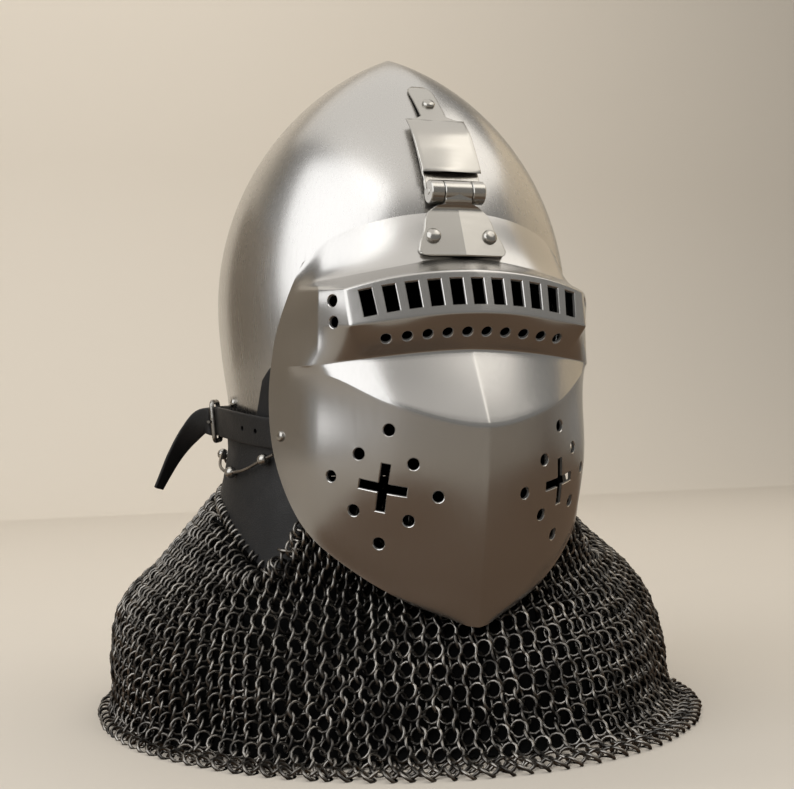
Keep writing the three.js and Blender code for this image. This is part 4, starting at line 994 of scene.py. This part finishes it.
# The strap goes on round the nape to its other end, and a loop of it holds the buckle's heel.
def makeStrapBack():
    angle = -np.linspace(strap["buckleAngle"] + strap["clear"], 360 - strap["frontAngle"], 150)
    middle, across, out = strapStation(angle)
    start = onBuckle(np.linspace(heelAlong, heelAlong - strap["heelRun"], 4), 0, 0)
    middle = np.concatenate([start, middle])
    across = np.concatenate([np.repeat(buckleUp[None], len(start), 0), across])
    out = np.concatenate([np.repeat(buckleOut[None], len(start), 0), out])
    half = np.full(len(middle), strap["width"] / 2)
    loopPath = onBuckle(heelAlong, np.linspace(-strap["width"] / 2, strap["width"] / 2, 8), heelOut)
    return [ribbon(middle, across, out, half), tube(loopPath, eye, 20, up=buckleOut)]


# Wire frame with round corners, level with the heel bar at one end and the front bar at the other.
def makeBuckle():
    half, corner = (buckle["height"] - buckle["wire"]) / 2, buckle["corner"]
    turn = np.radians(np.arange(0, 91, 18) + np.array([[0], [90], [180], [270]]))
    middles = np.array([[restAlong - corner, half - corner], [heelAlong + corner, half - corner],
                        [heelAlong + corner, corner - half], [restAlong - corner, corner - half]])
    along = (middles[:, :1] + corner * np.cos(turn)).ravel()
    up = (middles[:, 1:] + corner * np.sin(turn)).ravel()
    share = (along - heelAlong) / (restAlong - heelAlong)
    path = onBuckle(along, up, heelOut + (restOut - heelOut) * share)
    return tube(path, buckle["wire"], 14, ring=True, up=buckleOut)


# Tapered wire from an eye on the heel bar over the front bar.
def makeTongue():
    over = restOut + (buckle["wire"] + buckle["tongue"]) / 2 + band["gap"]
    along = [heelAlong - 1, heelAlong + 4, restAlong - 3, restAlong + buckle["overhang"]]
    path = smoothPath(onBuckle(along, 0, [heelOut + 2.6, heelOut + 2.2, over - 0.2, over]), 20)
    taper = buckle["tongue"] * np.linspace(1.1, 0.8, len(path))
    eyePath = onBuckle(heelAlong, np.array([-0.5, 0.5]) * buckle["tongueEye"], heelOut)
    eyeWidth = buckle["wire"] + 2 * buckle["tongueEyeWall"]
    return [tube(path, taper, 12, up=buckleUp), tube(eyePath, eyeWidth, 18, up=buckleOut)]


# Round holes through the strap, cut with rods across it that reach past both faces.
def punched(mesh):
    spots, _, axes = strapStation(-np.array(strap["holeAngles"], float))
    rod = [[strap["hole"] / 2, -3], [strap["hole"] / 2, 9]]
    rods = joined("rods", [turned(rod, spot, axis, 20) for spot, axis in zip(spots, axes)])
    leather, cutter = bpy.data.objects.new("uncut", mesh), bpy.data.objects.new("rods", rods)
    for piece in (leather, cutter):
        bpy.context.scene.collection.objects.link(piece)
    cut = leather.modifiers.new("holes", "BOOLEAN")
    cut.object, cut.operation, cut.solver = cutter, "DIFFERENCE", "EXACT"
    done = bpy.data.meshes.new_from_object(leather.evaluated_get(bpy.context.evaluated_depsgraph_get()))
    for piece in (leather, cutter):
        bpy.data.objects.remove(piece)
    done.name = "strap_with_tail"
    done.shade_smooth()
    done.set_sharp_from_angle(angle=math.radians(50))
    return done


strapMesh = punched(joined("strap_uncut", [makeStrapFront()], 50))
addPiece("strap_with_tail", strapMesh, "helm", strapLeather, ["strap_front"])
addBodies("strap_round_nape", makeStrapBack(), "helm", strapLeather, ["strap_back"])
addBodies("buckle_loop", [makeBuckle()], "helm", buckleSteel, ["buckle_frame"])
addBodies("buckle_pin", makeTongue(), "helm", buckleSteel, ["buckle_tongue"])
print("strap and buckle made")


# Rivets: domes on the hinge, the cheeks, the strap's hidden ends and beside the buckle
rivets = {
    "leaf": {"z": 363, "diameter": 7.6, "dome": 2.4},
    "plate": {"x": 16.9, "z": 280.4, "diameter": 8.6, "dome": 2.8},
    "cheek": {"line": 5.56, "station": 2.78, "diameter": 6, "dome": 1.9},
    "strap": {"angle": 55, "diameter": 6, "dome": 1.6},
    "side": {"angle": -90.5, "z": 189.7, "diameter": 6, "dome": 2.4},
}


# Profile of a rivet's head: a short rim, drawn in at its foot, and a rounded cap.
def dome(diameter, height):
    t = np.linspace(0, np.pi / 2, 10)
    cap = np.stack([diameter / 2 * np.cos(t) ** 0.8, height * (0.25 + 0.75 * np.sin(t))], axis=-1)
    cap[-1, 0] = tipRadius
    return np.concatenate([[[diameter / 2 * 0.96, 0], [diameter / 2, 0.15 * height]], cap])


def addRivet(node, point, out, body, size):
    head = turned(dome(size["diameter"], size["dome"]), point, out)
    addBodies(f"{node}_dome", [head], body, rivetSteel, [node])


# Outward direction of a front line at a height.
def slopeOut(line, z):
    return unit(place(0, 1, (line(z - 1) - line(z + 1)) / 2) - place(0, 0, 0))


spot = rivets["leaf"]
addRivet("leaf_rivet", place(0, leafBack(spot["z"]) + skullLeaf["wall"], spot["z"]),
         slopeOut(skullFront, spot["z"]), "helm", spot)
for name, side in (("right", -1), ("left", 1)):
    spot = rivets["plate"]
    forward = visorFront(spot["z"]) + visorLeaf["lift"] + visorLeaf["wall"] - spot["x"] * visorLeaf["bend"]
    addRivet(f"visor_leaf_rivet_{name}", place(side * spot["x"], forward, spot["z"]),
             slopeOut(visorFront, spot["z"]) + np.array([side * visorLeaf["bend"], 0, 0]), "visor", spot)
    spot = rivets["cheek"]
    at = np.array([spot["line"]]), np.array([side * spot["station"]])
    addRivet(f"visor_cheek_rivet_{name}", onVisor(*at)[0], visorNormal(*at)[0], "visor", spot)
    spot = rivets["strap"]
    middle, _, out = strapStation(side * spot["angle"])
    addRivet(f"strap_rivet_{name}", middle + strap["wall"] * out, out, "helm", spot)
spot = rivets["side"]
at = spot["angle"], spot["z"]
addRivet("skull_rivet", onSkull(*at), skullNormal(*at), "helm", spot)
print("rivets made")


# Mail: rings on the curtain's surface, each row leaning the other way

# Sum of the folds at an angle, each a bell curve round its own angle.
def foldDepth(angle, low):
    folds = np.array(mail["folds"], float)
    away = (np.asarray(angle)[..., None] - folds[:, 0] + 180) % 360 - 180
    depth = folds[:, 2] + (folds[:, 3] - folds[:, 2]) * low
    return (depth * np.exp(-((away / folds[:, 1]) ** 2))).sum(axis=-1)


# The curtain hangs from the leather's lower edge, and rises to a bib between its tips.
def mailTop(angle):
    away = fromFront(angle)
    tipAngle, tipZ = band["bottomAngle"][1], band["bottomZ"][1]
    rise = np.clip((tipAngle - away) / (tipAngle - band["frontAngle"] + mail["bibRun"]), 0, 1)
    return np.where(away >= tipAngle, bandBottom(angle), tipZ + (mail["bibZ"] - tipZ) * rise)


# Points down the curtain at each angle: the leather's lower edge, half way, and the outlines below, moved in
# by a depth.
def mailRails(angle, inward=0):
    turn = np.radians(angle)
    outlines = []
    for z, halfWidth, front, back, share, low in mail["levels"]:
        swell = share * foldDepth(angle, low) - mail["wall"] / 2 - inward
        depth = np.where(np.cos(turn) > 0, front, back) + swell
        outlines.append(place((halfWidth + swell) * np.sin(turn), depth * np.cos(turn), z - mail["wall"] / 2))
    neck = onNeck(angle, mailTop(angle), np.full(len(angle), band["wall"] / 2 - 0.6 * inward))
    return np.stack([neck, (neck + outlines[0]) / 2, *outlines], axis=1)


# Each angle's rail as a smooth line of points, top first.
def smoothRails(rails):
    slopeIn, slopeOut = creasedSlopes(rails, np.zeros(rails.shape[:2]))
    fine = np.linspace(0, 1, 12, endpoint=False)
    shares = np.broadcast_to(fine, (len(rails), len(fine)))
    pieces = [hermite(rails[:, k, None], rails[:, k + 1, None], slopeOut[:, k, None], slopeIn[:, k + 1, None],
                      shares) for k in range(rails.shape[1] - 1)]
    return np.concatenate([*pieces, rails[:, -1:]], axis=1)


# Points of the curtain at distances up from the hem.
def onCurtain(angle, distance):
    line = smoothRails(mailRails(angle))[:, ::-1]
    length = lengthAlong(line)
    i = np.clip((length <= distance[:, None]).sum(axis=1) - 1, 0, line.shape[1] - 2)
    n = np.arange(len(angle))
    share = (distance - length[n, i]) / (length[n, i + 1] - length[n, i])
    return line[n, i] + share[:, None] * (line[n, i + 1] - line[n, i]), length[:, -1]


# Tori from centres and two directions in each ring's plane; the wire's circle is carried round each ring.
def ringBodies(centre, first, second, ring, wire):
    turn = np.linspace(0, 2 * np.pi, mail["ringSides"], endpoint=False)
    roll = np.linspace(0, 2 * np.pi, mail["wireSides"], endpoint=False)
    normal = np.cross(first, second)[:, None, None]
    out = np.cos(turn)[:, None] * first[:, None] + np.sin(turn)[:, None] * second[:, None]
    out = out[:, :, None]
    points = (centre[:, None, None] + (ring - wire) / 2 * out
              + wire / 2 * (np.cos(roll)[:, None] * out + np.sin(roll)[:, None] * normal))
    index = np.arange(len(turn) * len(roll)).reshape(len(turn), len(roll))
    ahead = np.roll(index, -1, 0)
    quads = np.stack([index, ahead, np.roll(ahead, -1, 1), np.roll(index, -1, 1)], axis=-1)
    starts = np.arange(len(centre)) * index.size
    return points.reshape(-1, 3), (quads.reshape(-1, 4) + starts[:, None, None]).reshape(-1, 4)


# Rings in rows up from the hem, every other row moved on by half a ring and leaning the other way.
def makeMail():
    count = mail["aroundCount"]
    grids = np.meshgrid(np.arange(mail["rows"]), np.arange(count), indexing="ij")
    row, column = (grid.ravel() for grid in grids)
    wander = random.normal(0, 1, (len(row), 3)) * mail["wander"]
    angle = (column + 0.5 * (row % 2) + wander[:, 0]) * 360 / count
    distance = mail["firstRow"] + row * mail["rowPitch"] + wander[:, 1]
    centre, length = onCurtain(angle, distance)
    aside, _ = onCurtain(angle + 1, distance)
    above, _ = onCurtain(angle, distance + 1)
    across, up = unit(aside - centre), unit(above - centre)
    normal = unit(np.cross(across, up))
    up = np.cross(normal, across)
    pitch = np.linalg.norm(aside - centre, axis=1) * 360 / count
    span = np.clip(pitch / mail["leanPitch"], mail["leanMost"], mail["leanLeast"])
    lean = np.arccos(span) * np.where(row % 2, 1, -1) + wander[:, 2]
    first = np.cos(lean)[:, None] * across + np.sin(lean)[:, None] * normal
    fromTip = (fromFront(angle) - band["bottomAngle"][1]) / mail["tipSpread"]
    keep = distance < length - mail["topClear"] - mail["tipClear"] * np.exp(-(fromTip**2))
    return centre[keep], first[keep], up[keep], row[keep]


# Rings through the leather's lower edge, each across the edge and standing out from it.
def makeEdgeRings():
    half = np.linspace(band["frontAngle"] + 0.5, 179.5, 900)
    length = lengthAlong(onNeck(half, bandBottom(half), 0))
    even = np.interp(np.arange(3, length[-1], mail["edgePitch"]), length, half)
    angle = np.concatenate([even, -even])
    z, middle = bandBottom(angle), band["wall"] / 2
    centre = onNeck(angle, z + mail["edgeUp"], middle)
    beside = np.sign(angle) * np.clip(np.abs(angle) + 0.3, band["frontAngle"], 180)
    along = unit(onNeck(beside, bandBottom(beside), middle) - onNeck(angle, z, middle))
    out = unit(onNeck(angle, z, 5) - onNeck(angle, z, 0))
    down = unit(np.cross(along, out))
    lean = random.normal(0, mail["edgeLean"], len(angle))[:, None]
    return centre, unit(out + lean * along), down


# Rings as one piece, with nothing under the table's top.
def addRings(name, centre, first, second, ring):
    points, quads = ringBodies(centre, first, second, ring, mail["wire"])
    points[:, 2] = np.maximum(points[:, 2], 0.1)
    addPiece(name, makeMesh(name, points, quads), "helm", mailSteel, ["mail"])


centre, first, second, row = makeMail()
for name, low, high in (("hem", 0, 9), ("middle", 9, 18), ("upper", 18, mail["rows"])):
    part = (row >= low) & (row < high)
    addRings(f"mail_{name}", centre[part], first[part], second[part], mail["ring"])
addRings("mail_on_leather", *makeEdgeRings(), mail["edgeRing"])


# Painted shade behind the rings: a thin dark closed section at each angle, carried round in a ring.
def makeShadeSheet():
    angle = np.linspace(0, 360, 160, endpoint=False)
    outer = smoothRails(mailRails(angle, mail["shadeInset"])[:, :-1])
    inner = smoothRails(mailRails(angle, mail["shadeInset"] + mail["shadeWall"])[:, :-1])
    return loft(np.concatenate([outer, inner[:, ::-1]], axis=1), ring=True)


addBodies("mail_painted_shade_sheet", [makeShadeSheet()], "helm", shadeSheetPaint, ["mail"])
print("mail made:", len(centre), "rings")


# Floor, light and camera

# Something of the stage, in a plain matt paint.
def addStage(name, mesh, color, roughness):
    material, _ = newMaterial(f"{name}_paint", {"Base Color": linear(color), "Roughness": roughness})
    mesh.materials.append(material)
    piece = bpy.data.objects.new(name, mesh)
    bpy.context.scene.collection.objects.link(piece)
    return piece


# A flat floor that bends up into a wall: one profile carried across.
sweep = {"width": 6000, "front": -2500, "wallY": 1500, "bend": 700, "height": 3200}
turn = np.radians(np.linspace(0, 90, 24))
bend = sweep["bend"] * np.stack([np.sin(turn), 1 - np.cos(turn)], axis=-1) + [sweep["wallY"], 0]
profile = np.concatenate([[[sweep["front"], 0]], bend, [[sweep["wallY"] + sweep["bend"], sweep["height"]]]])
edges = np.array([-0.5, 0.5]) * sweep["width"]
floorPoints = np.concatenate([np.insert(profile, 0, x, axis=1) for x in edges])
n = np.arange(len(profile) - 1)
floorQuads = np.stack([n, n + len(profile), n + len(profile) + 1, n + 1], axis=-1)
addStage("table", makeMesh("table", floorPoints, floorQuads), "#d6cfc4", 0.6)

world = bpy.data.worlds.new("studio")
bpy.context.scene.world = world
world.use_nodes = True
feed(world, world.node_tree.nodes["Background"], {"Color": linear("#d6d4d0"), "Strength": 0.4})

# softboxes: place, aim, size in millimetres, power in watts and colour
softboxes = {
    "window": ((-1424, -634, 1160), (0, 0, 260), (2200, 2100), 24, "#fcfdff"),
    "window_right": ((1000, -430, 1650), (0, 0, 260), (1800, 850), 6.6, "#fffaf2"),
    "ceiling": ((0, 0, 2200), (0, -1, 260), (2200, 3800), 19, "#fffbf5"),
    "wall": ((0, 600, 1900), (0, 1900, 500), (2600, 500), 18, "#fff7ec"),
}


# Turns a lamp or board at a place to face an aim.
def standTo(holder, spot, aim):
    back = unit(np.array(spot, float) - np.array(aim, float))
    side = unit(np.cross([0, 0.01, 1.0], back))
    turnTo = np.eye(4)
    turnTo[:3, :3] = np.stack([side, np.cross(back, side), back], axis=-1)
    turnTo[:3, 3] = np.array(spot) * mm
    holder.matrix_world = Matrix(turnTo.tolist())


for name, (spot, aim, size, power, color) in softboxes.items():
    lamp = bpy.data.lights.new(name, "AREA")
    lamp.shape, lamp.size, lamp.size_y, lamp.energy = "RECTANGLE", size[0] * mm, size[1] * mm, power
    lamp.color = linear(color)[:3]
    holder = bpy.data.objects.new(name, lamp)
    holder.visible_glossy = name != "wall"
    bpy.context.scene.collection.objects.link(holder)
    standTo(holder, spot, aim)

# boards beside and under the helm that only the steel reflects: place, aim, size and colour
boards = {
    "left_board": ((-1210, 1010, 520), (0, 0, 300), (1400, 900), "#8d857a"),
    "right_board": ((1520, 410, 800), (0, 0, 300), (1500, 1200), "#e6dac6"),
    "wide_board": ((0, -1, 0.3), (0, -1, 0), (5000, 4000), "#9d968c"),
    "under_board": ((560, 40, 0.6), (560, 40, 0), (1780, 1120), "#63503f"),
}
for name, (spot, aim, size, color) in boards.items():
    corners = np.array([[-1, -1, 0], [1, -1, 0], [1, 1, 0], [-1, 1, 0]]) * np.array([*size, 0]) / 2
    board = addStage(name, makeMesh(name, corners, np.array([[0, 1, 2, 3]])), color, 0.9)
    board.visible_camera = board.visible_diffuse = board.visible_shadow = board.visible_transmission = False
    standTo(board, spot, aim)

# the photograph's eye: yaw to the wearer's right, level, a little rolled
eyePoint = {
    "distance": 889, "yaw": 20.33, "aside": 2.14, "z": 193.3, "roll": -0.93,
    "pixels": 1409, "image": 794, "sensor": 36,
}
camera = bpy.data.cameras.new("camera")
camera.sensor_width = eyePoint["sensor"]
camera.lens = eyePoint["pixels"] / eyePoint["image"] * camera.sensor_width
yaw, roll = math.radians(eyePoint["yaw"]), math.radians(eyePoint["roll"])
x = -eyePoint["distance"] * math.sin(yaw) + eyePoint["aside"] * math.cos(yaw)
y = -eyePoint["distance"] * math.cos(yaw) - eyePoint["aside"] * math.sin(yaw) - axisForward
viewer = bpy.data.objects.new("camera", camera)
bpy.context.scene.collection.objects.link(viewer)
viewer.matrix_world = (
    Matrix.Translation((x * mm, y * mm, eyePoint["z"] * mm)) @ Matrix.Rotation(-yaw, 4, "Z")
    @ Matrix.Rotation(math.radians(90), 4, "X") @ Matrix.Rotation(roll, 4, "Z"))
bpy.context.scene.camera = viewer
bpy.context.scene.view_settings.view_transform = "Standard"
print("light and camera set")
